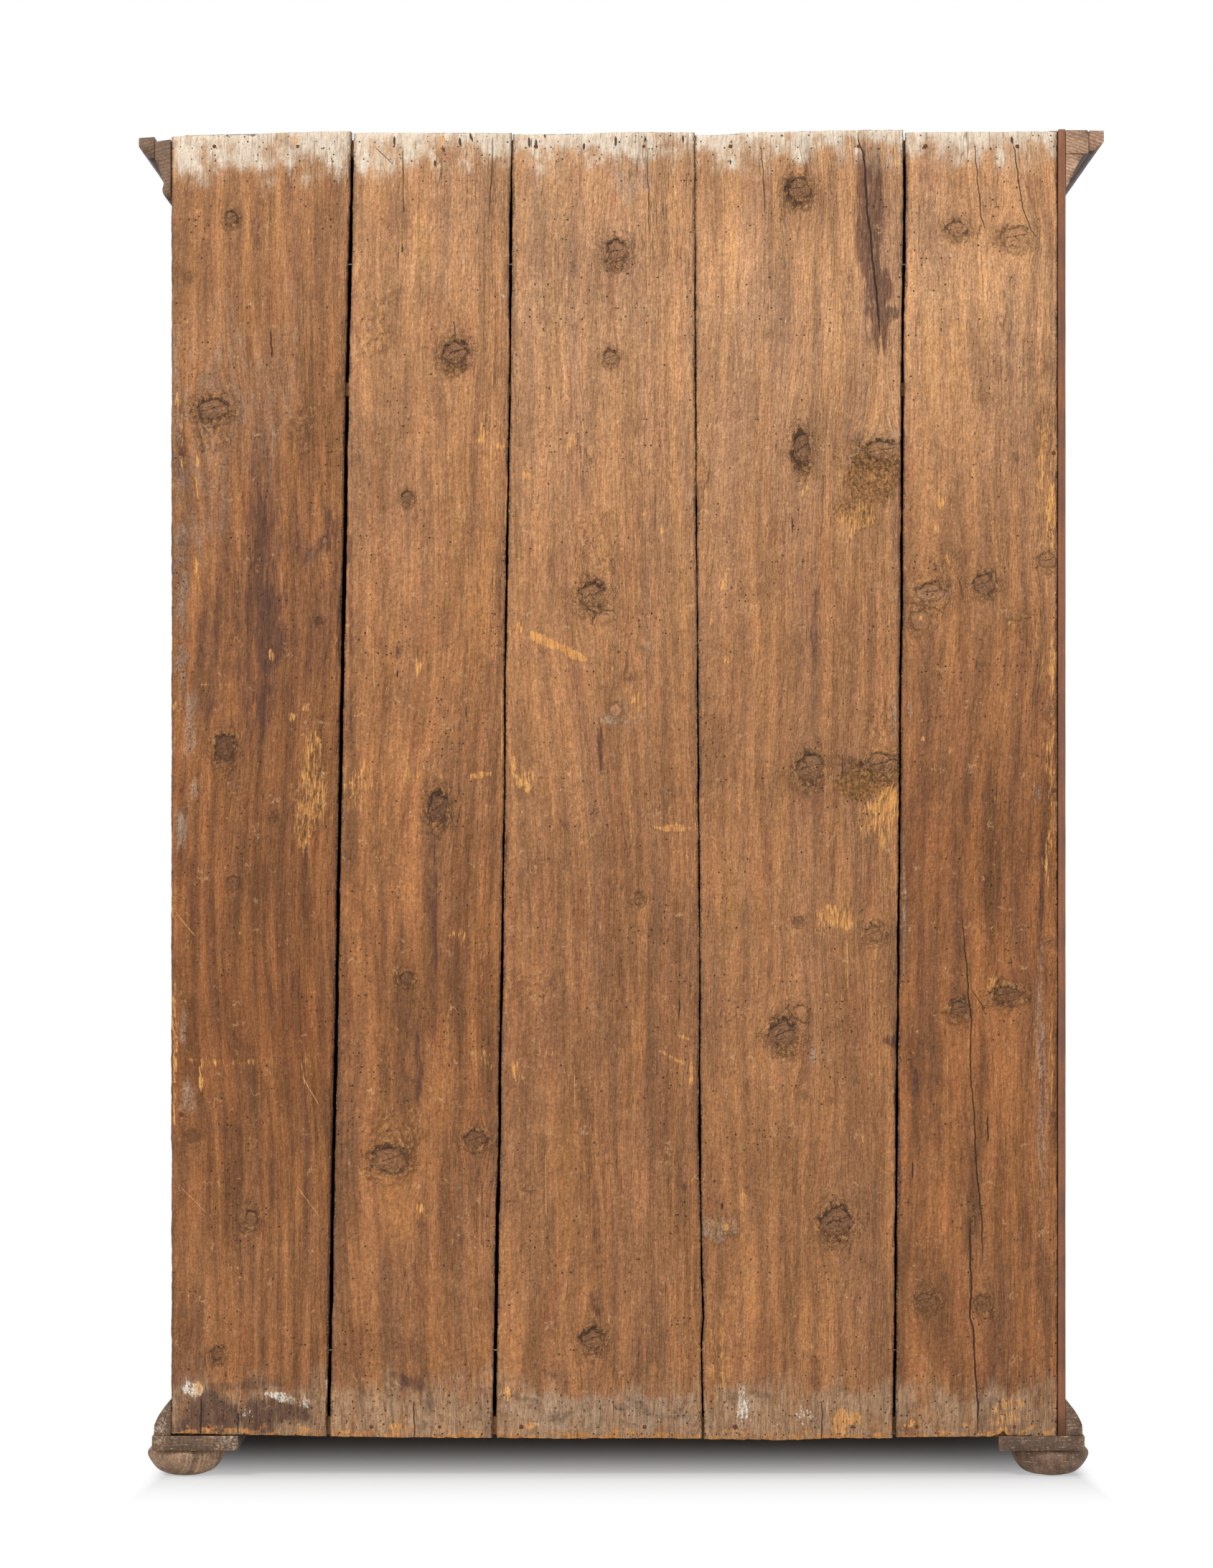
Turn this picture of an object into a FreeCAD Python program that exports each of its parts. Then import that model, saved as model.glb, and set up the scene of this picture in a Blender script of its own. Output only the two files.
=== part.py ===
import FreeCAD, Part
import os

# Old softwood wardrobe with two panelled doors, a boarded back, a moulded cornice and four bun feet.
# Lengths in mm, +Z up, front towards -Y, origin on the floor at the middle of the whole outline.

# Body
body_width = 1197
body_depth = 500
body_top = 1805
top_fall = 9
wall_thick = 22
front_thick = 24
housing = 8

# Feet and base
foot_height = 37.5
foot_radius = 52
foot_proud = 5
foot_end_set = 2
foot_pin_radius = 13
foot_pin_share = 0.7
runner_thick = 20
runner_width = 115
runner_show = 2.5
base_moulding_height = 48
base_moulding_out = 23

# Cornice
cornice_height = 82
cornice_drop = 1
cornice_out_right = 43
cornice_out_left = 51
cornice_out_front = 47

# Boards across the body
bottom_board_thick = 24
top_board_thick = 22
top_board_sink = 3
shelf_thick = 18
shelf_below_bolt = 57
shelf_gap = 1

# Hanging rail
rail_radius = 14
rail_drop = 50
rail_bore_depth = 10
rail_bore_fit = 0.2

# Boarded back
board_thick = 15
back_lip = 10.2
edge_fit = 0.6
board_stand = 0.5
board_overhang = 3
corner_chip_width = 6
corner_chip_height = 78
corner_split_width = 8
corner_split_height = 108
seam_gaps = (4.2, 3.0, 1.4, 3.4)
seam_top_shares = (0.2971, 0.1182, -0.0856, -0.3201)
seam_bottom_shares = (0.3240, 0.1386, -0.0946, -0.3084)
board_top_drops = ((9.8, 2.1), (5.0, 4.6), (6.4, 4.0), (7.3, 0.8), (4.0, 3.0))

# Square nails of the back
nail_head = 7
nail_head_thick = 1.6
nail_shank = 3.2
nail_length = 38
side_nail_inset = 6
nail_shares = ((0.24, 0.70), (0.26, 0.67), (0.13, 0.72), (0.17, 0.78), (0.13, 0.70))
side_nail_height_shares = (0.27, 0.51, 0.76)

# Front frame
front_stile_width = 60
sill_show = 6.5
head_show = 23
frame_tenon_length = 30
frame_tenon_thick = 8

# Doors
door_gap = 2
meeting_gap = 3
door_stile_width = 90
door_top_rail_width = 95
door_middle_rail_width = 100
door_bottom_rail_width = 140
middle_rail_share = 0.42
door_tenon_length = 40
door_tenon_thick = 8
groove_depth = 10
groove_fit = 0.2
panel_play = 1
tongue_thick = 6
tongue_set = 10
field_set = 5
panel_bevel = 38

# Lift-off hinges
hinge_inset = 230
barrel_radius = 5.5
barrel_clear = 0.5
knuckle_length = 44
knuckle_gap = 0.2
pin_radius = 3
pin_fit = 0.05
pin_length = 34
pin_end_gap = 1
tip_height = 7
leaf_thick = 1.8
leaf_height = 80
leaf_depth = 20
leaf_screw_shares = (-0.36, 0.0, 0.36)

# Screws
screw_head_radius = 3.2
screw_radius = 1.6
screw_length = 16

# Rim lock on the right door
lock_rise = 45
lock_inset = 3
lock_behind_key = 38
lock_sheet = 1.5
lock_flange = 10
lock_room = 6
lock_bolt_share = 0.7
lock_bolt_height = 12
lock_bolt_thick = 8
lock_bolt_set = 1
lock_bolt_back = 1
slide_fit = 0.3

# Key
key_inset = 45
key_radius = 3
key_fit = 0.4
key_nose = 1
key_end_gap = 2.5
key_front = 22
key_bit_length = 12
key_bit_thick = 3
key_bit_set = 3
key_bit_width = 7
key_sweep_gap = 2
key_collar_radius = 4.6
key_collar_length = 3
key_collar_stand = 0.5
key_bow_radius = 8.5
key_bow_wire = 2.2

# Keyhole plate
plate_thick = 1.5
plate_half_width = 13
plate_half_height = 24
plate_pin_radius = 1.1
plate_pin_length = 9
plate_pin_share = 0.78

# Door bolts on the left door
bolt_inset = 30
bolt_width = 12
bolt_thick = 6
bolt_length = 160
bolt_end_gap = 3
bolt_knob_radius = 5
bolt_knob_length = 9
guide_base = 1.2
guide_wall = 3
guide_height = 12
guide_ear = 9
guide_ear_thick = 2
guide_end_set = 17
guide_spacing = 106

# Angles in degrees
quarter_turn = 90
full_turn = 360

# Levels and faces
half = body_width / 2
total_width = body_width + cornice_out_left + cornice_out_right
total_depth = body_depth + cornice_out_front
body_shift = (cornice_out_left - cornice_out_right) / 2
rear = total_depth / 2
face = rear - body_depth
frame_back = face + front_thick
board_face = rear - board_thick
base_top = foot_height + runner_thick
runner_out = base_moulding_out + runner_show
right_top = body_top - top_fall
top_board_top = right_top - top_board_sink
top_board_under = top_board_top - top_board_thick
bottom_board_top = base_top + bottom_board_thick
cornice_top_right = right_top - cornice_drop
cornice_top_left = body_top - cornice_drop
wall_inside = half - wall_thick
opening_half = half - front_stile_width
sill_top = base_top + base_moulding_height + sill_show
head_under = cornice_top_right - cornice_height - head_show
door_bottom = sill_top + door_gap
door_top = head_under - door_gap
door_edge = opening_half - door_gap
meeting_edge = meeting_gap / 2
hinge_x = opening_half - door_gap / 2
hinge_y = face - barrel_radius - barrel_clear
leaf_half = leaf_height / 2
hinge_heights = (door_bottom + hinge_inset, door_top - hinge_inset)
middle_rail_height = door_bottom + (door_top - door_bottom) * middle_rail_share
middle_rail_low = middle_rail_height - door_middle_rail_width / 2
middle_rail_high = middle_rail_height + door_middle_rail_width / 2
shelf_height = door_top - bolt_end_gap - bolt_length - shelf_below_bolt - shelf_thick
rail_height = shelf_height - rail_drop
hanging_y = (frame_back + board_face) / 2
top_nail_height = top_board_top - top_board_thick / 2
bottom_nail_height = bottom_board_top - bottom_board_thick / 2
key_reach = key_bit_set + key_bit_width + key_nose
lock_bolt_rise = key_bit_length + key_sweep_gap
lock_below = key_bit_length + lock_room + lock_sheet
lock_above = lock_bolt_rise + lock_bolt_height + lock_room + lock_sheet
lock_height = middle_rail_high + lock_rise + lock_flange + lock_below
lock_width = key_inset - lock_inset + lock_behind_key
lock_depth = key_reach + key_end_gap + lock_sheet
lock_bolt_length = lock_width * lock_bolt_share
bolt_set = guide_base + slide_fit


def block(x0, x1, y0, y1, z0, z1):
    low = FreeCAD.Vector(min(x0, x1), min(y0, y1), min(z0, z1))
    return Part.makeBox(abs(x1 - x0), abs(y1 - y0), abs(z1 - z0), low)


def prism(points, along):
    closed = list(points) + [points[0]]
    return Part.Face(Part.makePolygon(closed)).extrude(along)


def rod(radius, start, direction, length):
    return Part.makeCylinder(radius, length, start, direction)


def cone(radius0, radius1, start, direction, length):
    return Part.makeCone(radius0, radius1, length, start, direction)


def join(shapes):
    whole = shapes[0]
    for shape in shapes[1:]:
        whole = whole.fuse(shape)
    return whole.removeSplitter()


def cut_all(shape, tools):
    for tool in tools:
        shape = shape.cut(tool)
    return shape


def moulding_face(steps, place):
    """Closed face from profile steps of shares: a step is a straight end or an arc's middle and end."""
    edges = []
    start = place(steps[0][0])
    first = start
    for step in steps[1:]:
        end = place(step[-1])
        if len(step) == 2:
            edges.append(Part.Arc(start, place(step[0]), end).toShape())
        else:
            edges.append(Part.makeLine(start, end))
        start = end
    edges.append(Part.makeLine(start, first))
    return Part.Face(Part.Wire(edges))


# Profile steps: share of the projection, share of the height down from the top
lath_shares = [
    [(0.50, 0.0)], [(1.0, 0.02)], [(1.0, 0.17)], [(0.81, 0.27)], [(0.70, 0.355)], [(0.50, 0.355)],
]
cove_shares = [
    [(0.0, 0.04)], [(0.50, 0.08)], [(0.50, 0.36)], [(0.35, 0.55), (0.225, 0.74)],
    [(0.225, 0.79)], [(0.262, 0.88), (0.14, 1.0)], [(0.0, 1.0)],
]
left_batten_shares = [[(0.0, 0.0)], [(0.57, 0.0)], [(0.61, 0.08)], [(0.61, 0.39)], [(0.0, 0.39)]]
left_lath_shares = [
    [(0.61, 0.005)], [(1.0, 0.01)], [(1.0, 0.20)], [(0.84, 0.29)], [(0.78, 0.345)], [(0.61, 0.345)],
]
left_cove_shares = [
    [(0.0, 0.39)], [(0.45, 0.40)], [(0.43, 0.46)], [(0.28, 0.60), (0.17, 0.78)],
    [(0.12, 0.79)], [(0.10, 0.86)], [(0.0, 0.95)],
]
foot_shares = [
    (0.42, 0.0), (0.56, 0.05), (0.72, 0.15), (0.86, 0.35),
    (0.96, 0.57), (1.0, 0.77), (0.97, 0.91), (0.90, 1.0),
]
base_shares = [[(0.0, 1.0)], [(1.0, 1.0)], [(0.97, 0.70)], [(0.62, 0.36), (0.0, 0.0)]]


def run_along_side(steps, side, out, top, height):
    """Moulding along one side of the body, before its mitre."""
    def place(share):
        return FreeCAD.Vector(side * (half + out * share[0]), rear, top - height * share[1])

    return moulding_face(steps, place).extrude(FreeCAD.Vector(0, -total_depth, 0))


def run_along_front(steps, out, top_left, top_right, height):
    """Moulding along the front, falling from the left end to the right end, before its mitres."""
    def place(share):
        return FreeCAD.Vector(-half - cornice_out_left, face - out * share[0], top_left - height * share[1])

    return moulding_face(steps, place).extrude(FreeCAD.Vector(total_width, 0, top_right - top_left))


def side_mitre(side, out, front_out):
    """Plan of everything beside the body, bounded by the mitre line at the front corner."""
    plan = [
        FreeCAD.Vector(side * half, rear, 0),
        FreeCAD.Vector(side * (half + out), rear, 0),
        FreeCAD.Vector(side * (half + out), face - front_out, 0),
        FreeCAD.Vector(side * half, face, 0),
    ]
    return prism(plan, FreeCAD.Vector(0, 0, body_top))


def front_mitre(out_left, out_right, front_out):
    """Plan of everything before the body, bounded by the mitre lines at both corners."""
    plan = [
        FreeCAD.Vector(-half, face, 0),
        FreeCAD.Vector(half, face, 0),
        FreeCAD.Vector(half + out_right, face - front_out, 0),
        FreeCAD.Vector(-half - out_left, face - front_out, 0),
    ]
    return prism(plan, FreeCAD.Vector(0, 0, body_top))


def seam_x(index, level):
    """Middle of a back seam at a height, the seams running straight from top to bottom."""
    share_up = (level - base_top) / (body_top - base_top)
    low = seam_bottom_shares[index] * body_width
    high = seam_top_shares[index] * body_width
    return low + (high - low) * share_up


def back_board(index):
    """One tapered board of the back, counted from the right side of the body."""
    last = len(board_top_drops) - 1
    outer = index in (0, last)
    foot = base_top + board_stand if outer else base_top - board_overhang
    drop_right, drop_left = board_top_drops[index]
    high_right = body_top - drop_right
    high_left = body_top - drop_left
    points = []
    if index == 0:
        chip_foot = high_right - corner_chip_height
        points.append((half - corner_split_width, foot))
        points.append((half - corner_split_width, foot + corner_split_height))
        points.append((half, foot + corner_split_height + corner_split_width))
        points.append((half, chip_foot))
        points.append((half - corner_chip_width, high_right))
    else:
        gap = seam_gaps[index - 1] / 2
        points.append((seam_x(index - 1, foot) - gap, foot))
        points.append((seam_x(index - 1, high_right) - gap, high_right))
    if index == last:
        edge = back_lip + edge_fit - half
        points.append((edge, high_left))
        points.append((edge, foot))
    else:
        gap = seam_gaps[index] / 2
        points.append((seam_x(index, high_left) + gap, high_left))
        points.append((seam_x(index, foot) + gap, foot))
    outline = [FreeCAD.Vector(x, board_face, z) for x, z in points]
    return prism(outline, FreeCAD.Vector(0, board_thick, 0))


def nail(x, z):
    """Square nail driven in from behind, its head level with the boards."""
    head = block(x - nail_head / 2, x + nail_head / 2, rear - nail_head_thick, rear,
                 z - nail_head / 2, z + nail_head / 2)
    shank = block(x - nail_shank / 2, x + nail_shank / 2, rear - nail_length, rear,
                  z - nail_shank / 2, z + nail_shank / 2)
    return join([head, shank])


def back_nail_list():
    nails = []
    last = len(board_top_drops) - 1
    for level in (top_nail_height, bottom_nail_height):
        for index, shares in enumerate(nail_shares):
            right = half if index == 0 else seam_x(index - 1, level)
            left = -half if index == last else seam_x(index, level)
            for share in shares:
                nails.append(nail(right + (left - right) * share, level))
    left_wall_nail = back_lip + side_nail_inset - half
    right_wall_nail = half - side_nail_inset - corner_split_width
    for share in side_nail_height_shares:
        nails.append(nail(right_wall_nail, body_top * share))
        nails.append(nail(left_wall_nail, body_top * share))
    return nails


def side_wall(side):
    """Side of the body; the left one is rebated for the back, the right one is covered by it."""
    if side > 0:
        return block(wall_inside, half, frame_back, board_face, base_top, right_top)
    wall = block(-wall_inside, -half, frame_back, rear, base_top, body_top)
    rebate = block(-wall_inside, back_lip - half, board_face, rear, base_top, body_top)
    return wall.cut(rebate)


def cross_board(low, high, front):
    """Board across the body with its ends housed in the side walls."""
    reach = wall_inside + housing
    return block(-reach, reach, front, board_face, low, high)


def hanging_rail():
    reach = wall_inside + rail_bore_depth
    start = FreeCAD.Vector(-reach, hanging_y, rail_height)
    return rod(rail_radius, start, FreeCAD.Vector(1, 0, 0), reach * 2)


def rail_bores():
    reach = wall_inside + rail_bore_depth
    start = FreeCAD.Vector(-reach, hanging_y, rail_height)
    return rod(rail_radius + rail_bore_fit, start, FreeCAD.Vector(1, 0, 0), reach * 2)


def front_rail(low, high):
    """Rail of the front frame with a tenon at each end."""
    middle = face + front_thick / 2
    body = block(-opening_half, opening_half, face, frame_back, low, high)
    reach = opening_half + frame_tenon_length
    cheek = frame_tenon_thick / 2
    tenon = block(-reach, reach, middle - cheek, middle + cheek, low, high)
    return join([body, tenon])


def front_stile(side):
    return block(side * opening_half, side * half, face, frame_back, base_top, top_board_top)


def turned_foot(x, y):
    """Flattened bun with a pin on top that stands in the base."""
    curve = Part.BSplineCurve()
    curve.interpolate([FreeCAD.Vector(foot_radius * r, 0, foot_height * h) for r, h in foot_shares])
    low = FreeCAD.Vector(0, 0, 0)
    pin_top = foot_height + runner_thick * foot_pin_share
    pin_low = FreeCAD.Vector(foot_pin_radius, 0, foot_height)
    pin_high = FreeCAD.Vector(foot_pin_radius, 0, pin_top)
    high = FreeCAD.Vector(0, 0, pin_top)
    edges = [
        Part.makeLine(low, curve.StartPoint),
        curve.toShape(),
        Part.makeLine(curve.EndPoint, pin_low),
        Part.makeLine(pin_low, pin_high),
        Part.makeLine(pin_high, high),
        Part.makeLine(high, low),
    ]
    foot = Part.Face(Part.Wire(edges)).revolve(low, FreeCAD.Vector(0, 0, 1), full_turn)
    foot.translate(FreeCAD.Vector(x, y, 0))
    return foot


def base_runner(side):
    outer = half + runner_out
    return block(side * outer, side * (outer - runner_width), face - runner_out, rear, foot_height, base_top)


def base_front_plate():
    reach = half + runner_out - runner_width
    front = face - runner_out
    return block(-reach, reach, front, front + runner_width, foot_height, base_top)


def screw(head, direction):
    """Countersunk wood screw from the middle of its head face along a direction."""
    taper = cone(screw_head_radius, screw_radius, head, direction, leaf_thick)
    shank = rod(screw_radius, head, direction, screw_length)
    return join([taper, shank])


def leaf_screws(side, middle, edge, heading):
    """Screws of one hinge leaf, driven sideways into the edge behind it."""
    y = face + leaf_depth / 2
    direction = FreeCAD.Vector(side * heading, 0, 0)
    heads = [FreeCAD.Vector(side * edge, y, middle + leaf_height * share) for share in leaf_screw_shares]
    return [screw(head, direction) for head in heads]


def barrel_tip(side, level, heading):
    """Small turned end of a hinge barrel."""
    start = FreeCAD.Vector(side * hinge_x, hinge_y, level)
    return cone(barrel_radius, barrel_radius / 2, start, FreeCAD.Vector(0, 0, heading), tip_height)


def frame_leaf(side, middle):
    """Lower half of a hinge: leaf in the front stile, knuckle below and the pin standing in it."""
    up = FreeCAD.Vector(0, 0, 1)
    low = middle - knuckle_length
    high = middle - knuckle_gap / 2
    knuckle = rod(barrel_radius, FreeCAD.Vector(side * hinge_x, hinge_y, low), up, high - low)
    pin = rod(pin_radius, FreeCAD.Vector(side * hinge_x, hinge_y, low), up, knuckle_length + pin_length)
    inner = side * opening_half
    outer = side * (opening_half + leaf_thick)
    tab = block(inner, outer, hinge_y, face, middle - leaf_half, high)
    leaf = block(inner, outer, face, face + leaf_depth, middle - leaf_half, middle + leaf_half)
    return join([knuckle, pin, tab, leaf, barrel_tip(side, low, -1)])


def door_leaf(side, middle):
    """Upper half of a hinge: leaf in the door edge and a knuckle bored for the pin."""
    up = FreeCAD.Vector(0, 0, 1)
    low = middle + knuckle_gap / 2
    high = middle + knuckle_length
    knuckle = rod(barrel_radius, FreeCAD.Vector(side * hinge_x, hinge_y, low), up, high - low)
    outer = side * door_edge
    inner = side * (door_edge - leaf_thick)
    tab = block(inner, outer, hinge_y, face, low, middle + leaf_half)
    leaf = block(inner, outer, face, face + leaf_depth, middle - leaf_half, middle + leaf_half)
    solid = join([knuckle, tab, leaf, barrel_tip(side, high, 1)])
    bore_length = pin_length + pin_end_gap
    bore = rod(pin_radius + pin_fit, FreeCAD.Vector(side * hinge_x, hinge_y, middle), up, bore_length)
    return solid.cut(bore)


def groove(x0, x1, z0, z1):
    """Room for a panel's tongue."""
    front = face + tongue_set - groove_fit
    return block(x0, x1, front, front + tongue_thick + groove_fit * 2, z0, z1)


def door_rail(side, low, high, groove_low, groove_high):
    """Door rail with tenons and a groove in each edge that holds a panel."""
    outer = door_edge - door_stile_width
    inner = meeting_edge + door_stile_width
    middle = face + tongue_set + tongue_thick / 2
    body = block(side * inner, side * outer, face, frame_back, low, high)
    tenon = block(side * (inner - door_tenon_length), side * (outer + door_tenon_length),
                  middle - door_tenon_thick / 2, middle + door_tenon_thick / 2,
                  low + groove_depth * groove_low, high - groove_depth * groove_high)
    rail = join([body, tenon])
    grooves = []
    if groove_low:
        grooves.append(groove(side * inner, side * outer, low, low + groove_depth))
    if groove_high:
        grooves.append(groove(side * inner, side * outer, high - groove_depth, high))
    return cut_all(rail, grooves)


def door_stile(side, edge, heading):
    """Door stile from its outer edge inwards, grooved along the inner edge."""
    inner = edge + heading * door_stile_width
    deep = inner - heading * groove_depth
    stile = block(side * edge, side * inner, face, frame_back, door_bottom, door_top)
    low = door_bottom + door_bottom_rail_width - groove_depth
    high = door_top - door_top_rail_width + groove_depth
    return stile.cut(groove(side * inner, side * deep, low, high))


def rectangle(x0, x1, y, z0, z1):
    corners = [(x0, z0), (x1, z0), (x1, z1), (x0, z1), (x0, z0)]
    return Part.makePolygon([FreeCAD.Vector(x, y, z) for x, z in corners])


def door_panel(side, low, high):
    """Panel with a raised field on the front and its tongue in the grooves all round."""
    bite = groove_depth - panel_play
    x0 = meeting_edge + door_stile_width - bite
    x1 = door_edge - door_stile_width + bite
    z0 = low - bite
    z1 = high + bite
    slope_start = face + tongue_set
    slab = block(side * x0, side * x1, slope_start, slope_start + tongue_thick, z0, z1)
    show = bite + panel_bevel
    wide = rectangle(side * (x0 + bite), side * (x1 - bite), slope_start, z0 + bite, z1 - bite)
    narrow = rectangle(side * (x0 + show), side * (x1 - show), face + field_set, z0 + show, z1 - show)
    field = Part.makeLoft([wide, narrow], True, True)
    return join([slab, field])


def lock_case_shape():
    """Sheet iron case on the inner face of the door, open towards it, with two screw flanges."""
    x0 = meeting_edge + lock_inset
    x1 = x0 + lock_width
    z0 = lock_height - lock_below
    z1 = lock_height + lock_above
    back = frame_back + lock_depth
    shell = block(x0, x1, frame_back, back, z0, z1)
    hollow = block(x0 + lock_sheet, x1 - lock_sheet, frame_back, back - lock_sheet,
                   z0 + lock_sheet, z1 - lock_sheet)
    flanges = [
        block(x0, x1, frame_back, frame_back + lock_sheet, z0 - lock_flange, z0),
        block(x0, x1, frame_back, frame_back + lock_sheet, z1, z1 + lock_flange),
    ]
    bolt_y = frame_back + lock_bolt_set
    bolt_z = lock_height + lock_bolt_rise
    slot = block(x0, x0 + lock_sheet, bolt_y - slide_fit, bolt_y + lock_bolt_thick + slide_fit,
                 bolt_z - slide_fit, bolt_z + lock_bolt_height + slide_fit)
    return join([shell.cut(hollow)] + flanges).cut(slot)


def lock_bolt_shape():
    x0 = meeting_edge + lock_inset - lock_bolt_back
    y0 = frame_back + lock_bolt_set
    z0 = lock_height + lock_bolt_rise
    return block(x0, x0 + lock_bolt_length, y0, y0 + lock_bolt_thick, z0, z0 + lock_bolt_height)


def keyhole():
    """Hole through the door for the shank with a slot below for the bit."""
    x = meeting_edge + key_inset
    front = face - plate_thick
    start = FreeCAD.Vector(x, front, lock_height)
    bore = rod(key_radius + key_fit, start, FreeCAD.Vector(0, 1, 0), frame_back - front)
    slot_half = key_bit_thick / 2 + key_fit
    slot = block(x - slot_half, x + slot_half, front, frame_back,
                 lock_height - key_bit_length - key_fit, lock_height)
    return join([bore, slot])


def key_shape():
    x = meeting_edge + key_inset
    back = FreeCAD.Vector(0, 1, 0)
    start = face - plate_thick - key_front
    end = frame_back + key_reach
    shank = rod(key_radius, FreeCAD.Vector(x, start, lock_height), back, end - start)
    bit_front = frame_back + key_bit_set
    bit = block(x - key_bit_thick / 2, x + key_bit_thick / 2, bit_front, bit_front + key_bit_width,
                lock_height - key_bit_length, lock_height)
    collar_start = face - plate_thick - key_collar_stand - key_collar_length
    collar = rod(key_collar_radius, FreeCAD.Vector(x, collar_start, lock_height), back, key_collar_length)
    bow_middle = FreeCAD.Vector(x, start - key_bow_radius + key_bow_wire, lock_height)
    bow = Part.makeTorus(key_bow_radius, key_bow_wire, bow_middle, FreeCAD.Vector(1, 0, 0))
    return join([shank, bit, collar, bow])


def keyhole_plate():
    x = meeting_edge + key_inset
    oval = Part.Ellipse(FreeCAD.Vector(0, 0, 0), plate_half_height, plate_half_width)
    plate = Part.Face(Part.Wire(oval.toShape())).extrude(FreeCAD.Vector(0, 0, plate_thick))
    turn = FreeCAD.Placement(
        FreeCAD.Vector(x, face, lock_height),
        FreeCAD.Rotation(FreeCAD.Vector(0, 0, 1), FreeCAD.Vector(0, -1, 0)),
    )
    plate.rotate(FreeCAD.Vector(0, 0, 0), FreeCAD.Vector(0, 0, 1), quarter_turn)
    plate.Placement = turn.multiply(plate.Placement)
    return plate.cut(keyhole())


def plate_pins():
    x = meeting_edge + key_inset
    reach = plate_half_height * plate_pin_share
    starts = [FreeCAD.Vector(x, face - plate_thick, lock_height + reach * way) for way in (-1, 1)]
    return [rod(plate_pin_radius, start, FreeCAD.Vector(0, 1, 0), plate_pin_length) for start in starts]


def lock_screws():
    inset = lock_flange / 2
    x0 = meeting_edge + lock_inset + inset
    x1 = meeting_edge + lock_inset + lock_width - inset
    z0 = lock_height - lock_below - inset
    z1 = lock_height + lock_above + inset
    outwards = FreeCAD.Vector(0, -1, 0)
    level = frame_back + lock_sheet
    return [screw(FreeCAD.Vector(x, level, z), outwards) for x in (x0, x1) for z in (z0, z1)]


def bolt_ends(way):
    """Tip and tail heights of a drawn-back door bolt, way 1 being the top one and -1 the bottom one."""
    tip = door_top - bolt_end_gap if way > 0 else door_bottom + bolt_end_gap
    return tip, tip - way * bolt_length


def door_bolt(way):
    """Flat bolt with a finger knob."""
    tip, tail = bolt_ends(way)
    x = -meeting_edge - bolt_inset
    y0 = frame_back + bolt_set
    bar = block(x - bolt_width / 2, x + bolt_width / 2, y0, y0 + bolt_thick, tail, tip)
    knob = rod(bolt_knob_radius, FreeCAD.Vector(x, y0, (tip + tail) / 2), FreeCAD.Vector(0, 1, 0),
               bolt_thick + bolt_knob_length)
    return join([bar, knob])


def bolt_guide(level):
    """Loop that holds a door bolt against the door, with an ear on each side."""
    x = -meeting_edge - bolt_inset
    slot_back = frame_back + bolt_set + bolt_thick + slide_fit
    slot_half = bolt_width / 2 + slide_fit
    reach = slot_half + guide_wall
    low = level - guide_height / 2
    high = level + guide_height / 2
    ear_back = frame_back + guide_ear_thick
    loop = block(x - reach, x + reach, frame_back, slot_back + guide_wall, low, high)
    ears = block(x - reach - guide_ear, x + reach + guide_ear, frame_back, ear_back, low, high)
    slot = block(x - slot_half, x + slot_half, frame_back + guide_base, slot_back, low, high)
    return join([loop, ears]).cut(slot)


def guide_levels():
    levels = []
    for way in (1, -1):
        tip = bolt_ends(way)[0]
        levels.append(tip - way * guide_end_set)
        levels.append(tip - way * (guide_end_set + guide_spacing))
    return levels


def guide_screws():
    x = -meeting_edge - bolt_inset
    reach = bolt_width / 2 + slide_fit + guide_wall + guide_ear / 2
    outwards = FreeCAD.Vector(0, -1, 0)
    level = frame_back + guide_ear_thick
    heads = [FreeCAD.Vector(x + way * reach, level, z) for z in guide_levels() for way in (-1, 1)]
    return [screw(head, outwards) for head in heads]


def door_parts(side, name):
    """Wooden parts of one door, side 1 being the right door."""
    bottom_rail_high = door_bottom + door_bottom_rail_width
    top_rail_low = door_top - door_top_rail_width
    bottom_rail = door_rail(side, door_bottom, bottom_rail_high, 0, 1)
    middle_rail = door_rail(side, middle_rail_low, middle_rail_high, 1, 1)
    top_rail = door_rail(side, top_rail_low, door_top, 1, 0)
    rails = [bottom_rail, middle_rail, top_rail]
    return {
        name + "_hinge_stile": cut_all(door_stile(side, door_edge, -1), rails),
        name + "_meeting_stile": cut_all(door_stile(side, meeting_edge, 1), rails),
        name + "_bottom_rail": bottom_rail,
        name + "_middle_rail": middle_rail,
        name + "_top_rail": top_rail,
        name + "_lower_panel": door_panel(side, bottom_rail_high, middle_rail_low),
        name + "_upper_panel": door_panel(side, middle_rail_high, top_rail_low),
    }


parts = {}

# Doors
parts.update(door_parts(1, "right_door"))
parts.update(door_parts(-1, "left_door"))

# Hinges and their screws
parts["hinge_frame_leaves"] = [frame_leaf(side, z) for side in (-1, 1) for z in hinge_heights]
parts["left_hinge_leaves"] = [door_leaf(-1, z) for z in hinge_heights]
parts["right_hinge_leaves"] = [door_leaf(1, z) for z in hinge_heights]
frame_screws = []
for side in (-1, 1):
    for z in hinge_heights:
        frame_screws.extend(leaf_screws(side, z, opening_half, 1))
left_screws = []
right_screws = []
for z in hinge_heights:
    left_screws.extend(leaf_screws(-1, z, door_edge, -1))
    right_screws.extend(leaf_screws(1, z, door_edge, -1))
parts["carcass_screws"] = frame_screws
parts["left_door_screws"] = left_screws + guide_screws()
parts["right_door_screws"] = right_screws + lock_screws() + plate_pins()

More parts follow.
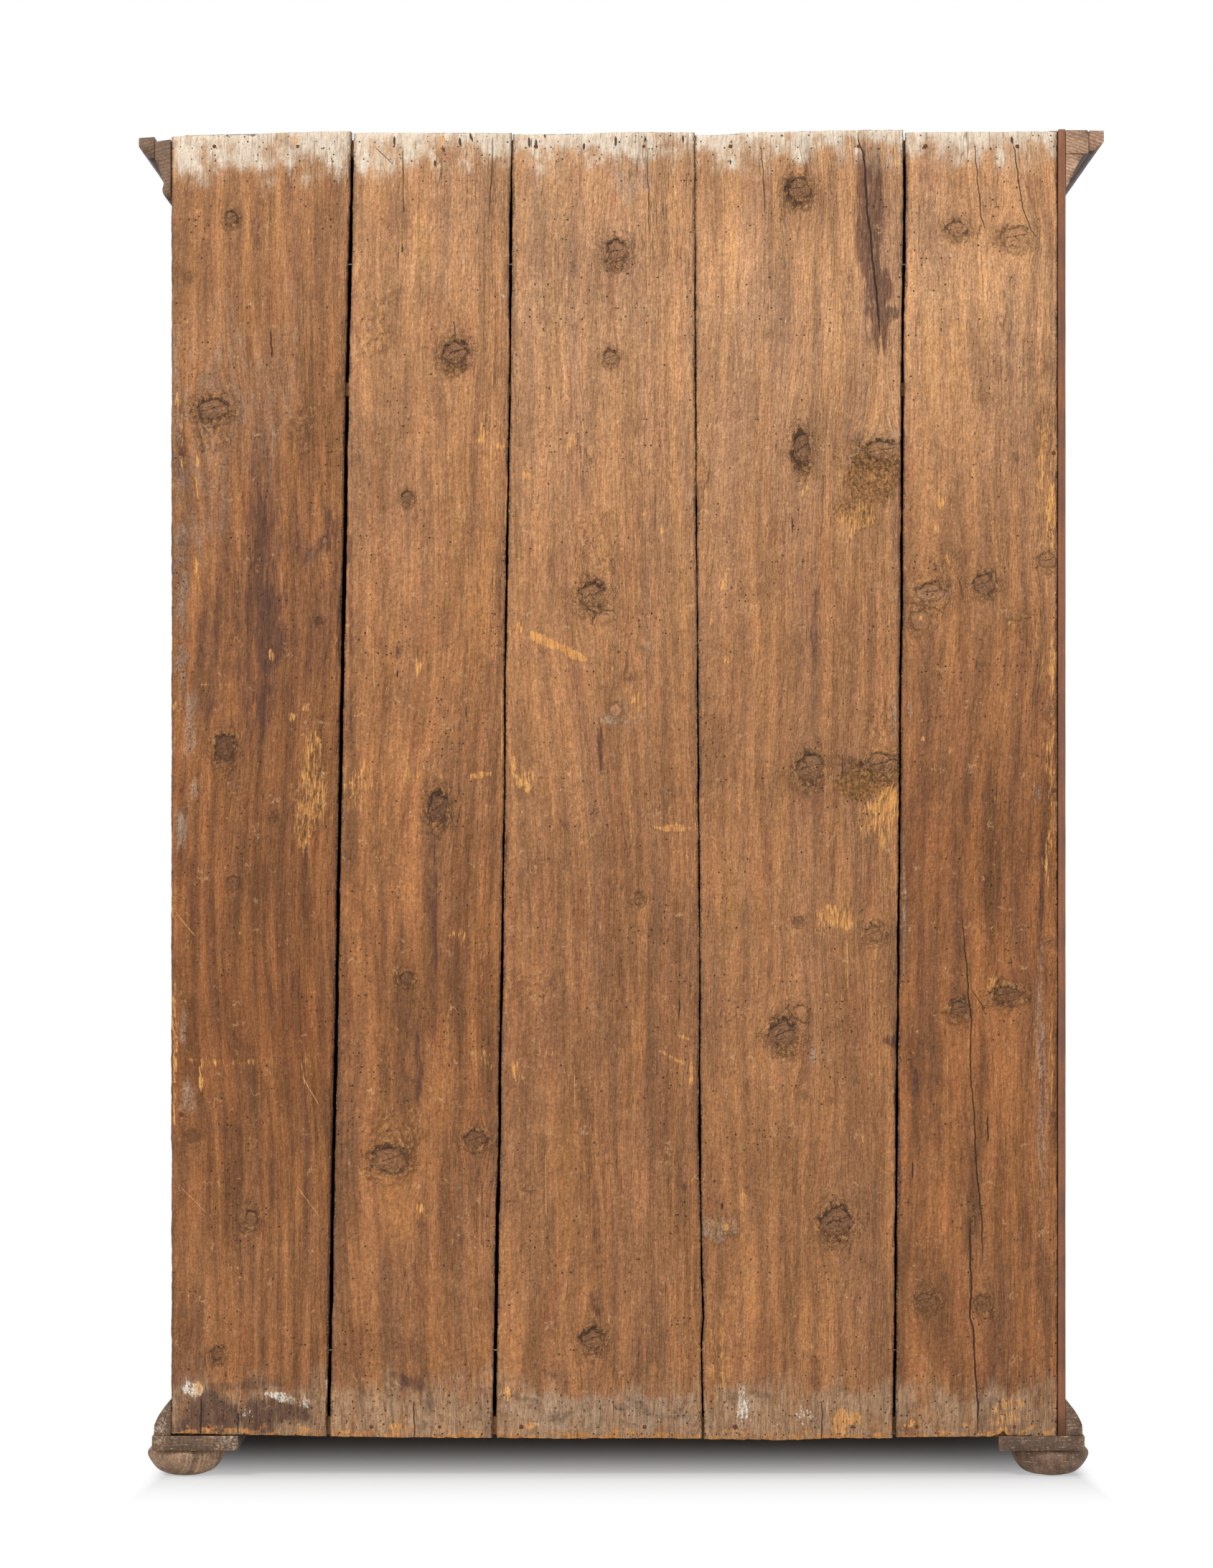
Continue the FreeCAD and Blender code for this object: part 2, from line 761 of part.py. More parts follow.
# Lock, key and door bolts
parts["lock_case"] = lock_case_shape()
parts["lock_bolt"] = lock_bolt_shape()
parts["key"] = key_shape()
parts["keyhole_plate"] = keyhole_plate()
parts["top_bolt"] = door_bolt(1)
parts["bottom_bolt"] = door_bolt(-1)
parts["bolt_guides"] = [bolt_guide(level) for level in guide_levels()]

# Carcass
parts["top_board"] = cross_board(top_board_under, top_board_top, frame_back)
parts["bottom_board"] = cross_board(base_top, bottom_board_top, frame_back)
parts["hat_shelf"] = cross_board(shelf_height, shelf_height + shelf_thick, frame_back + shelf_gap)
parts["hanging_rail"] = hanging_rail()
parts["side_wall_left"] = side_wall(-1)
parts["side_wall_right"] = side_wall(1)
parts["front_top_rail"] = front_rail(head_under, top_board_top)
parts["front_bottom_rail"] = front_rail(base_top, sill_top)
parts["front_stile_left"] = front_stile(-1)
parts["front_stile_right"] = front_stile(1)

# Back
parts["back_nails"] = back_nail_list()
for index in range(len(board_top_drops)):
    parts["back_board_" + str(index + 1)] = back_board(index)

# Cornice
right_cut = side_mitre(1, cornice_out_right, cornice_out_front)
left_cut = side_mitre(-1, cornice_out_left, cornice_out_front)
front_cut = front_mitre(cornice_out_left, cornice_out_right, cornice_out_front)
right_run = (1, cornice_out_right, cornice_top_right, cornice_height)
left_run = (-1, cornice_out_left, cornice_top_left, cornice_height)
front_run = (cornice_out_front, cornice_top_left, cornice_top_right, cornice_height)
parts["cornice_lath_right"] = run_along_side(lath_shares, *right_run).common(right_cut)
parts["cornice_cove_right"] = run_along_side(cove_shares, *right_run).common(right_cut)
parts["cornice_batten_left"] = run_along_side(left_batten_shares, *left_run).common(left_cut)
parts["cornice_lath_left"] = run_along_side(left_lath_shares, *left_run).common(left_cut)
parts["cornice_cove_left"] = run_along_side(left_cove_shares, *left_run).common(left_cut)
parts["cornice_lath_front"] = run_along_front(lath_shares, *front_run).common(front_cut)
parts["cornice_cove_front"] = run_along_front(cove_shares, *front_run).common(front_cut)

# Base
base_moulding_top = base_top + base_moulding_height
base_side_run = (base_moulding_out, base_moulding_top, base_moulding_height)
for side, name in ((1, "right"), (-1, "left")):
    corner = side_mitre(side, base_moulding_out, base_moulding_out)
    parts["base_moulding_" + name] = run_along_side(base_shares, side, *base_side_run).common(corner)
    parts["base_runner_" + name] = base_runner(side)
base_corner = front_mitre(base_moulding_out, base_moulding_out, base_moulding_out)
base_front_run = (base_moulding_out, base_moulding_top, base_moulding_top, base_moulding_height)
parts["base_moulding_front"] = run_along_front(base_shares, *base_front_run).common(base_corner)
parts["base_front_plate"] = base_front_plate()

# Feet
foot_side = half + runner_out + foot_proud - foot_radius
foot_end = foot_radius + foot_end_set
foot_ends = (("front", face - runner_out + foot_end), ("rear", rear - foot_end))
for side, side_name in ((1, "right"), (-1, "left")):
    for end_name, y in foot_ends:
        parts["foot_" + end_name + "_" + side_name] = turned_foot(side * foot_side, y)

# Seats: every piece that is let into another is taken out of it
nails = parts["back_nails"]
bores = [rail_bores()]
boards = [parts["top_board"], parts["bottom_board"], parts["hat_shelf"]]
for name in ("side_wall_left", "side_wall_right"):
    parts[name] = cut_all(parts[name], boards + bores + nails)
for name in ("top_board", "bottom_board", "hat_shelf"):
    parts[name] = cut_all(parts[name], nails)
for index in range(len(board_top_drops)):
    name = "back_board_" + str(index + 1)
    parts[name] = cut_all(parts[name], nails)
rails = [parts["front_top_rail"], parts["front_bottom_rail"]]
for name in ("front_stile_left", "front_stile_right"):
    parts[name] = cut_all(parts[name], rails + parts["hinge_frame_leaves"] + frame_screws)
for end_name in ("front", "rear"):
    for name in ("left", "right"):
        runner = "base_runner_" + name
        parts[runner] = parts[runner].cut(parts["foot_" + end_name + "_" + name])
for name in ("left", "right"):
    stile = name + "_door_hinge_stile"
    leaves = name + "_hinge_leaves"
    screws = parts[name + "_door_screws"]
    parts[stile] = cut_all(parts[stile], parts[leaves] + screws)
    parts[leaves] = [cut_all(leaf, screws) for leaf in parts[leaves]]
parts["hinge_frame_leaves"] = [cut_all(leaf, frame_screws) for leaf in parts["hinge_frame_leaves"]]
left_fixings = parts["left_door_screws"]
right_fixings = parts["right_door_screws"]
parts["left_door_meeting_stile"] = cut_all(parts["left_door_meeting_stile"], left_fixings)
right_cuts = right_fixings + [keyhole()]
parts["right_door_meeting_stile"] = cut_all(parts["right_door_meeting_stile"], right_cuts)
parts["bolt_guides"] = [cut_all(guide, left_fixings) for guide in parts["bolt_guides"]]
parts["lock_case"] = cut_all(parts["lock_case"], right_fixings)
parts["keyhole_plate"] = cut_all(parts["keyhole_plate"], right_fixings)

# The body stands off the middle of the outline by half the difference of the side projections
shift = FreeCAD.Vector(body_shift, 0, 0)
for name, shape in parts.items():
    whole = Part.makeCompound(shape) if isinstance(shape, list) else shape
    whole.translate(shift)
    whole.exportStep("parts/" + name + ".step")
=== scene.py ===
import math

import bmesh
import bpy
import numpy as np
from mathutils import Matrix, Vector


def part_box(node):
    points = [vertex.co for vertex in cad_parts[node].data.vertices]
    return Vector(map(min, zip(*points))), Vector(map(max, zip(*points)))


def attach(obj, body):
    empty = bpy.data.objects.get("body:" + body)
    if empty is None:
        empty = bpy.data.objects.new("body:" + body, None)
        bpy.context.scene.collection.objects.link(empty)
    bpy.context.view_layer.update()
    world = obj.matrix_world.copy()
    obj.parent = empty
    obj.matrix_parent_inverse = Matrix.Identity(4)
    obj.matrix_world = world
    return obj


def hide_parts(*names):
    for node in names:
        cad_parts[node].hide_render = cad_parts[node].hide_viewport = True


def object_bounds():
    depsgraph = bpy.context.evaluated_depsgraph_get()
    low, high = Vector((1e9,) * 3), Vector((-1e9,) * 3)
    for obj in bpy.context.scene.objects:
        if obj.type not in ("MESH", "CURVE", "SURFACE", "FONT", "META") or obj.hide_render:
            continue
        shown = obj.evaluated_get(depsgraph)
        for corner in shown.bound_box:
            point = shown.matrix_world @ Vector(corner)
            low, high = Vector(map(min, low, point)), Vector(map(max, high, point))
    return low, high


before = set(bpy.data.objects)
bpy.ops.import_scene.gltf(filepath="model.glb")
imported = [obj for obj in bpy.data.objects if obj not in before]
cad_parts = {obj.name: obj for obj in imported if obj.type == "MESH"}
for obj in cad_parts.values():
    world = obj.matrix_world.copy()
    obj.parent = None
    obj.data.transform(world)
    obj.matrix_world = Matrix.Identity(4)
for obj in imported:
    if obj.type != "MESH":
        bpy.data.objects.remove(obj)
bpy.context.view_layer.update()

# Old softwood wardrobe seen from behind. Metres, +Z up, front towards -Y, the boarded back towards +Y.
# Places on the back are pixels of the 1690 x 2184 picture, turned into metres at the plane of the back.
MM = 0.001
# Metres to a pixel, the picture's height, and the pixels of x = 0 and of the floor under the back
PIXEL = 0.96 * MM
PICTURE_HEIGHT = 2184
MIDDLE_PIXEL = 865.55
FLOOR_PIXEL = 2060

board_low, board_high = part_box("back_board_3")
REAR = board_high.y
BOARD_FACE = board_low.y


def x_of(px):
    return (MIDDLE_PIXEL - px) * PIXEL


def z_of(py):
    return (FLOOR_PIXEL - py) * PIXEL


# ---------------------------------------------------------------- smooth noise for shapes

def lattice(i, j, seed):
    value = np.sin(i * 127.1 + j * 311.7 + seed * 74.7) * 43758.5453
    return value - np.floor(value)


def wave(x, y, seed):
    """Smooth noise from -1 to 1 with features one unit wide."""
    x, y = np.broadcast_arrays(np.asarray(x, float), np.asarray(y, float))
    i, j = np.floor(x), np.floor(y)
    u, v = x - i, y - j
    u, v = u * u * (3 - 2 * u), v * v * (3 - 2 * v)
    low = lattice(i, j, seed) * (1 - u) + lattice(i + 1, j, seed) * u
    high = lattice(i, j + 1, seed) * (1 - u) + lattice(i + 1, j + 1, seed) * u
    return (low * (1 - v) + high * v) * 2 - 1


def ramp_up(value, low, high):
    t = np.clip((value - low) / (high - low), 0, 1)
    return t * t * (3 - 2 * t)


# ---------------------------------------------------------------- features of the back, in pixels

# Seams from the picture's left to its right: (height, middle, width of the open gap)
SEAMS = (
    ((185, 491, 3), (250, 490, 4), (400, 487, 5), (500, 484, 5), (600, 482.6, 5), (750, 480.5, 5.5),
     (850, 478.3, 5.5), (950, 476.7, 5), (1100, 473.8, 5), (1200, 471.9, 5), (1300, 470.3, 5), (1400, 468.7, 5),
     (1500, 466.9, 5), (1600, 464.2, 4.5), (1700, 462.3, 4.5), (1800, 461.1, 5), (1900, 459.3, 5), (1990, 456.7, 5)),
    ((185, 714, 1.5), (235, 712.5, 2), (300, 711.5, 4), (400, 711, 4), (470, 711, 2), (585, 710, 2),
     (650, 708.3, 2.4), (750, 706.7, 2.8), (880, 704.5, 2.4), (960, 703.6, 1.8), (1100, 702.9, 1.6),
     (1185, 701.6, 2.4), (1300, 700, 3), (1400, 698.4, 3), (1500, 696.3, 3.5), (1600, 695.7, 4), (1700, 692.8, 4.5),
     (1800, 691.4, 5), (1900, 690, 5), (1990, 688.8, 5.5)),
    ((185, 968, 1.2), (370, 968.5, 1.2), (570, 969.3, 1.4), (750, 970.7, 1.6), (850, 971.8, 1.4), (1000, 972.5, 1.8),
     (1200, 973.9, 1.8), (1300, 974.5, 2), (1400, 975.3, 2.2), (1500, 974.5, 2.6), (1580, 975, 3.6),
     (1650, 975.5, 2.6), (1700, 976.9, 2.4), (1800, 978.5, 2.6), (1835, 979.8, 2.6), (1870, 977.2, 2.8),
     (1950, 979, 2.8), (1990, 979.3, 3)),
    ((185, 1260, 2.5), (250, 1261, 3.5), (300, 1261, 4), (450, 1258, 4), (600, 1257.7, 4), (750, 1257, 4),
     (850, 1256.2, 3.5), (950, 1254.9, 3.2), (1100, 1254, 3.2), (1200, 1253, 3.2), (1400, 1251.4, 3.2),
     (1500, 1250.3, 3.5), (1600, 1249.3, 3.5), (1800, 1248, 3.5), (1900, 1247.2, 4), (1990, 1246.1, 4)),
)
LEFT_EDGE = 238.7
RIGHT_EDGE = 1473.8

# Top and bottom outlines of the boards: (pixel across, pixel down)
TOPS = (
    ((238, 190.5), (260, 188), (345, 188), (353, 190), (358, 186), (400, 184), (440, 183.5), (487, 182)),
    ((493, 185), (560, 184.6), (640, 185.4), (710, 185)),
    ((716, 186.5), (800, 187), (850, 184.4), (905, 184), (966, 184)),
    ((970, 187.5), (1028, 187.8), (1033, 184.2), (1120, 183), (1160, 181.2), (1200, 180.6), (1257, 180.4)),
    ((1263, 184), (1340, 183.6), (1400, 183.2), (1476, 183)),
)
BOTTOMS = (
    ((238, 1996.8), (330, 1998), (400, 1999), (455, 2000.5)),
    ((459, 2001), (540, 2002), (600, 2002.6), (688, 2002.8)),
    ((690, 2002.4), (800, 2004), (900, 2003), (978, 2004.4)),
    ((980, 2005), (1050, 2005), (1100, 2006), (1160, 2003.4), (1245, 2003)),
    ((1248, 2001.4), (1380, 2001), (1392, 1998), (1398, 1992), (1404, 1999), (1476, 2001)),
)

# Knots: middle, half width, half height, paleness of the heart, torn fringe below it
KNOTS = (
    ((322, 303, 8, 9, 0.4, 0.5), (262, 385, 4, 5, 0.45, 0.2), (296, 570, 20, 13, 0.42, 1.0),
     (256, 755, 5, 5, 0.4, 0.0), (445, 865, 4, 5, 0.1, 0.3), (418, 892, 4, 5, 0.45, 0.0),
     (313, 1040, 13, 16, 0.15, 0.8), (380, 1139, 5, 6, 0.35, 0.2), (324, 1228, 6, 7, 0.35, 0.3),
     (268, 1583, 8, 9, 0.05, 0.2), (350, 1698, 9, 10, 0.5, 0.4), (255, 1830, 4, 5, 0.4, 0.0),
     (303, 1885, 8, 9, 0.35, 0.5)),
    ((634, 492, 15, 15, 0.33, 1.0), (567, 693, 7, 8, 0.35, 0.5), (555, 908, 5, 9, 0.05, 0.0),
     (610, 1126, 12, 19, 0.2, 0.8), (566, 1363, 8, 8, 0.3, 0.4), (543, 1615, 22, 17, 0.36, 0.6),
     (663, 1587, 14, 11, 0.22, 0.5), (665, 1985, 9, 7, 0.7, 0.0)),
    ((859, 350, 12.5, 15, 0.34, 0.9), (850, 498, 9, 9, 0.42, 0.5), (823, 640, 4, 5, 0.3, 0.0),
     (825, 830, 15, 17, 0.38, 0.9), (841, 861, 8, 6, 0.6, 0.2), (894, 903, 4, 4, 0.1, 0.0),
     (877, 945, 8, 6, 0.5, 0.0), (858, 989, 7, 8, 0.95, 0.2), (832, 1133, 4, 5, 0.4, 0.0),
     (890, 1252, 7, 7, 0.35, 0.3), (720, 1672, 4, 5, 0.3, 0.0), (825, 1866, 14, 13, 0.36, 0.6),
     (966, 1977, 10, 9, 0.1, 0.0)),
    ((1113, 263, 14, 16, 0.3, 0.9), (1069, 466, 5, 5, 0.35, 0.1), (1117, 625, 11, 21, 0.2, 1.0),
     (1230, 627, 24, 12, 0.46, 0.6), (1128, 1070, 17, 18, 0.3, 0.8), (1229, 1064, 21, 14, 0.42, 0.5),
     (1112, 1283, 6, 6, 0.25, 0.3), (1218, 1300, 12, 10, 0.4, 0.4), (1091, 1440, 17, 17, 0.3, 0.7),
     (1116, 1408, 8, 8, 0.65, 0.3), (1118, 1525, 5, 5, 0.4, 0.0), (1157, 1533, 4, 4, 0.4, 0.0),
     (1165, 1702, 18, 19, 0.3, 0.9)),
    ((1332, 319, 12, 10, 0.42, 0.5), (1415, 330, 19, 13, 0.45, 0.3), (1370, 550, 6, 6, 0.45, 0.1),
     (1462, 511, 5, 5, 0.1, 0.0), (1460, 780, 12, 10, 0.42, 0.3), (1371, 813, 13, 13, 0.33, 0.5),
     (1297, 825, 17, 12, 0.45, 0.4), (1283, 864, 13, 13, 0.55, 0.3), (1463, 993, 7, 6, 0.4, 0.0),
     (1369, 1224, 4, 4, 0.5, 0.0), (1462, 1312, 8, 7, 0.4, 0.1), (1337, 1405, 13, 11, 0.3, 0.4),
     (1403, 1385, 18, 11, 0.34, 0.7), (1289, 1811, 14, 9, 0.4, 0.3), (1371, 1817, 10, 11, 0.25, 0.3)),
)

# Soft patches on the boards: middle, half width, half height, strength and, where it leans, degrees
DARK = (
    (357, 310, 12, 45, 0.45), (364, 780, 11, 100, 0.95), (374, 868, 25, 80, 0.95), (416, 745, 5, 60, 0.6),
    (460, 739, 7, 38, 0.9), (430, 776, 9, 46, 0.75, 36), (425, 800, 50, 140, 0.4), (365, 972, 14, 42, 0.8),
    (347, 985, 3, 22, 0.6), (420, 1290, 6, 10, 0.6), (296, 1972, 50, 34, 1.0), (370, 1972, 60, 26, 0.8),
    (330, 1930, 60, 14, 0.5), (592, 735, 7, 185, 0.35), (555, 908, 5, 10, 0.9), (606, 1270, 4, 130, 0.7),
    (583, 1495, 6, 50, 0.8), (568, 1925, 26, 18, 0.6), (585, 1706, 9, 8, 0.5), (832, 1690, 8, 100, 0.5),
    (828, 1820, 10, 34, 0.6), (953, 1653, 5, 7, 0.7), (765, 1915, 12, 9, 0.6), (836, 1045, 5, 40, 0.6),
    (1211, 300, 20, 110, 0.85), (1220, 400, 24, 70, 1.0, -5), (1228, 440, 24, 26, 0.9), (1134, 865, 8, 70, 0.5),
    # (472, 760) on the next line is painted shade on the worn arris left of the first seam
    (472, 760, 7, 240, 0.5), (489, 820, 5, 240, 0.6), (290, 900, 46, 120, 0.42), (255, 850, 14, 200, 0.35),
    (250, 640, 12, 70, 0.45), (1243, 1450, 11, 8, 1.0), (1276, 1512, 4, 26, 0.8), (1452, 1225, 7, 75, 0.55),
    (1445, 1105, 7, 20, 0.5), (1215, 640, 36, 26, 0.3), (1243, 640, 10, 30, 0.5), (1206, 1078, 44, 24, 0.5),
    (1108, 1100, 5, 10, 0.5), (404, 1240, 8, 120, 0.2), (1018, 1000, 5, 14, 0.4), (1005, 1000, 4, 14, 0.4),
    (500, 500, 6, 60, 0.3), (560, 300, 10, 60, 0.35), (655, 250, 8, 60, 0.3), (735, 245, 18, 30, 0.3),
    (905, 940, 10, 12, 0.3), (940, 1100, 26, 8, 0.3), (1100, 900, 10, 60, 0.2), (1330, 1110, 60, 160, 0.25),
    (1400, 1230, 50, 120, 0.2), (1290, 1600, 24, 200, 0.12), (252, 1700, 10, 160, 0.3), (300, 1450, 30, 110, 0.2),
    (400, 1370, 40, 120, 0.25), (366, 800, 52, 240, 0.48),
)
FRESH = (
    (243, 225, 4, 40, 0.6), (275, 655, 3, 38, 0.8), (274, 792, 3, 26, 0.8), (300, 954, 50, 1.6, 0.5),
    (330, 1480, 74, 8, 0.42), (425, 1490, 8, 26, 0.5), (378, 912, 5, 8, 0.8), (407, 998, 5, 7, 0.9, 20),
    (992, 865, 5, 6, 0.8), (1013, 919, 6, 5, 0.7), (436, 1100, 28, 84, 0.55), (502, 1096, 26, 40, 0.45),
    (724, 1086, 22, 30, 0.5), (1216, 1144, 32, 34, 0.55), (1456, 680, 17, 160, 0.5), (1450, 900, 8, 70, 0.4),
    (425, 1165, 12, 26, 0.55), (478, 1090, 12, 60, 0.35), (560, 1082, 110, 20, 0.3), (1172, 1276, 32, 26, 0.62),
    (252, 620, 4, 60, 0.5), (246, 560, 4, 30, 0.5), (1452, 330, 8, 14, 0.5), (1470, 600, 5, 80, 0.5),
    (280, 1500, 3, 34, 0.8), (243, 1460, 5, 90, 0.75), (444, 1040, 4, 22, 0.8), (425, 985, 8, 5, 0.8),
    (243, 982, 4, 9, 0.9), (277, 1932, 9, 13, 0.8), (275, 292, 5, 5, 0.7), (412, 196, 6, 11, 0.9),
    (422, 326, 20, 7, 0.36), (420, 1110, 24, 46, 0.3), (582, 927, 4, 15, 0.9), (675, 1079, 28, 5, 0.6, -8),
    (677, 1475, 13, 16, 0.55), (612, 585, 11, 13, 0.4), (672, 607, 9, 19, 0.6), (698, 622, 9, 5, 0.8),
    (640, 1303, 13, 10, 0.6), (622, 1450, 5, 54, 0.4), (550, 1990, 9, 9, 0.8), (585, 1681, 8, 8, 0.6),
    (617, 196, 3, 13, 1.0), (735, 662, 6, 14, 0.6), (797, 620, 8, 22, 0.5), (761, 892, 27, 7, 2.2, 23),
    (724, 872, 9, 8, 0.7), (800, 910, 24, 6, 1.8, 30), (897, 715, 4, 4, 1.0), (923, 738, 4, 4, 1.0),
    (897, 738, 3, 3, 0.9), (873, 950, 2.5, 30, 0.9), (885, 972, 10, 9, 0.6), (715, 1068, 3, 30, 0.75),
    (737, 1098, 9, 9, 0.6), (942, 1152, 30, 5, 0.85), (956, 1446, 14, 2.6, 0.9, 27), (942, 1476, 32, 2.6, 0.85, 30),
    (964, 1492, 4, 19, 0.7), (720, 1490, 10, 32, 0.45), (765, 1467, 28, 8, 0.4), (708, 1940, 6, 11, 0.9),
    (740, 1985, 7, 7, 0.8), (855, 1990, 7, 7, 0.8), (704, 715, 2, 38, 0.9), (1009, 810, 3, 24, 0.85, 18),
    (1207, 722, 46, 24, 0.5), (1237, 1115, 17, 24, 0.85), (1120, 1455, 3, 18, 0.8), (1140, 1280, 11, 34, 0.45),
    (1177, 1248, 12, 24, 0.45), (1012, 1710, 5, 7, 0.8), (1035, 1667, 5, 15, 0.5), (1006, 1895, 26, 80, 0.35),
    (1172, 1982, 15, 20, 0.9), (1192, 1976, 9, 13, 0.7), (1250, 225, 6, 18, 0.7), (1465, 705, 8, 28, 0.95),
    (1465, 762, 5, 30, 0.6), (1466, 910, 6, 44, 0.75), (1463, 1120, 9, 175, 0.45), (1467, 1475, 6, 90, 0.45),
    (1312, 698, 9, 9, 0.6), (1340, 715, 7, 7, 0.5), (1319, 778, 2.4, 21, 0.85, -25), (1305, 735, 4, 6, 0.6),
    (1303, 1035, 5, 5, 0.7), (1288, 1030, 5, 5, 0.7), (1325, 1045, 5, 6, 0.6), (1350, 1270, 7, 7, 0.4),
    (1388, 1110, 9, 7, 0.4), (1385, 1367, 11, 14, 0.6), (1402, 1967, 30, 20, 0.5), (1270, 1983, 11, 9, 0.7),
    (1399, 1993, 8, 6, 0.95), (971, 1035, 2, 48, 0.9), (969, 1135, 2.4, 27, 0.9), (1459, 470, 8, 60, 0.5),
    (1446, 400, 6, 50, 0.35), (1120, 680, 6, 20, 0.5), (633, 512, 14, 4, 0.6), (860, 368, 12, 3.4, 0.6),
    (1283, 861, 6, 7, 0.7), (690, 460, 6, 8, 0.2), (1060, 1300, 70, 60, 0.1), (560, 1180, 50, 60, 0.12),
    (1020, 1020, 40, 60, 0.14), (1240, 1430, 5, 40, 0.4), (240, 1250, 3, 30, 0.7), (336, 1300, 5, 4, 0.6),
    (1095, 1466, 12, 4, 0.5),
)
GREY = (
    (250, 675, 8, 17, 0.6), (252, 925, 9, 28, 0.6), (265, 1000, 11, 54, 0.55), (270, 1095, 6, 17, 0.7),
    (254, 1155, 12, 38, 0.5), (252, 840, 12, 170, 0.45), (246, 560, 8, 120, 0.45), (830, 1964, 130, 30, 0.85),
    (330, 560, 90, 260, 0.3), (255, 1435, 6, 28, 0.5), (262, 1530, 13, 34, 0.45), (880, 250, 30, 30, 0.8, 20),
    (855, 225, 14, 24, 0.6), (860, 1002, 27, 9, 0.75), (868, 990, 12, 18, 0.5), (1042, 1965, 14, 36, 0.7),
    (1451, 1520, 10, 185, 0.45), (1446, 1105, 7, 18, 0.5), (430, 778, 7, 30, 0.4, 36), (1246, 990, 4, 44, 0.9),
    (1266, 985, 4, 12, 0.9), (1259, 1250, 3, 100, 0.5), (1243, 640, 6, 7, 0.8), (1136, 1052, 8, 8, 0.5),
    (1133, 1470, 5, 16, 0.6), (907, 905, 12, 16, 0.35), (1298, 830, 26, 18, 0.4), (1240, 610, 18, 12, 0.5),
    (296, 585, 22, 20, 0.35), (285, 640, 8, 40, 0.3), (360, 1945, 30, 8, 0.4), (1002, 1712, 28, 24, 0.6),
    (905, 930, 8, 12, 0.3), (1378, 648, 8, 6, 0.4), (960, 700, 5, 40, 0.3),
)
MOSS = (
    (1205, 664, 46, 36, 1.9), (1200, 705, 40, 30, 0.9), (1206, 1084, 44, 28, 1.6), (1165, 1722, 15, 15, 0.9),
    (1113, 284, 14, 9, 0.9), (1405, 1408, 14, 11, 0.7), (1414, 874, 16, 16, 0.6), (1120, 650, 12, 12, 0.9),
    (634, 516, 18, 16, 0.7), (860, 372, 14, 7, 0.8), (296, 600, 24, 20, 0.5), (825, 812, 18, 8, 0.7),
    (1096, 1466, 16, 8, 0.5), (1128, 1094, 16, 10, 0.6), (540, 1575, 30, 24, 0.35), (663, 1574, 12, 6, 0.6),
    (1001, 1712, 26, 22, 0.5), (325, 1080, 14, 20, 0.5), (305, 1900, 9, 7, 0.7), (825, 1835, 12, 18, 0.6),
    (612, 1104, 16, 10, 0.5), (1217, 1284, 13, 7, 0.6),
)
RED = (
    (463, 1470, 6, 76, 0.95), (461, 1700, 4, 200, 0.5), (706, 1175, 3, 27, 0.8), (1415, 1358, 11, 18, 0.8),
    (1142, 1122, 40, 24, 0.45), (1276, 1512, 4, 26, 0.8), (1243, 1450, 11, 8, 0.8), (1252.5, 740, 2, 180, 0.9),
    (1100, 1130, 20, 30, 0.3), (852, 420, 10, 60, 0.45), (838, 1050, 4, 40, 0.6), (1010, 1070, 26, 40, 0.25),
    (350, 980, 5, 34, 0.5), (606, 1270, 4, 130, 0.5), (1210, 360, 10, 100, 0.3), (800, 1300, 5, 200, 0.25),
    (930, 1350, 6, 250, 0.25), (545, 560, 6, 120, 0.25), (1030, 500, 5, 120, 0.25),
)
# Whitish patches; the one at (264, 1934) is partly a smear and partly a painted highlight on a shiny worn band
LIME_AND_SHEEN = (
    (264, 1934, 20, 11, 0.75, 14), (392, 1946, 26, 6, 0.75, 16), (424, 1952, 12, 9, 0.7, 30), (346, 1968, 9, 7, 0.6),
    (457, 1930, 4, 9, 0.8), (1022, 216, 22, 22, 0.9), (617, 222, 16, 12, 0.8), (1190, 1290, 7, 3, 0.5),
    (1009, 750, 3, 4, 0.6), (500, 1770, 12, 22, 0.35, 10), (1036, 1962, 10, 30, 0.55), (1120, 1972, 12, 14, 0.5),
    (553, 448, 3, 3, 0.9), (700, 412, 7, 3, 0.8, 40), (740, 742, 8, 5, 0.35), (812, 215, 18, 12, 0.5),
    (905, 212, 22, 14, 0.5), (1340, 203, 50, 8, 0.5), (350, 214, 60, 22, 0.5), (440, 222, 24, 22, 0.6),
)
CURLED = (
    (425, 1115, 34, 56, 1.0), (425, 590, 30, 36, 0.8), (520, 445, 34, 55, 0.9), (828, 750, 34, 55, 1.0),
    (752, 1370, 50, 24, 0.9), (1220, 1010, 26, 34, 0.9), (565, 1572, 40, 30, 0.9), (1303, 784, 14, 18, 0.8),
    (1425, 855, 20, 12, 0.9), (1452, 600, 20, 44, 0.8), (478, 505, 10, 60, 0.8), (978, 668, 9, 26, 0.9),
    (1003, 1712, 30, 26, 0.9), (735, 1653, 12, 8, 0.8), (825, 1832, 14, 20, 0.9), (297, 605, 26, 30, 0.9),
    (1205, 660, 50, 50, 0.9), (1205, 1080, 46, 40, 0.7), (1297, 812, 30, 30, 0.6), (1392, 330, 20, 16, 0.7),
    (1060, 1090, 100, 30, 0.5), (1390, 1370, 22, 20, 0.8), (690, 1090, 40, 30, 0.4),
)

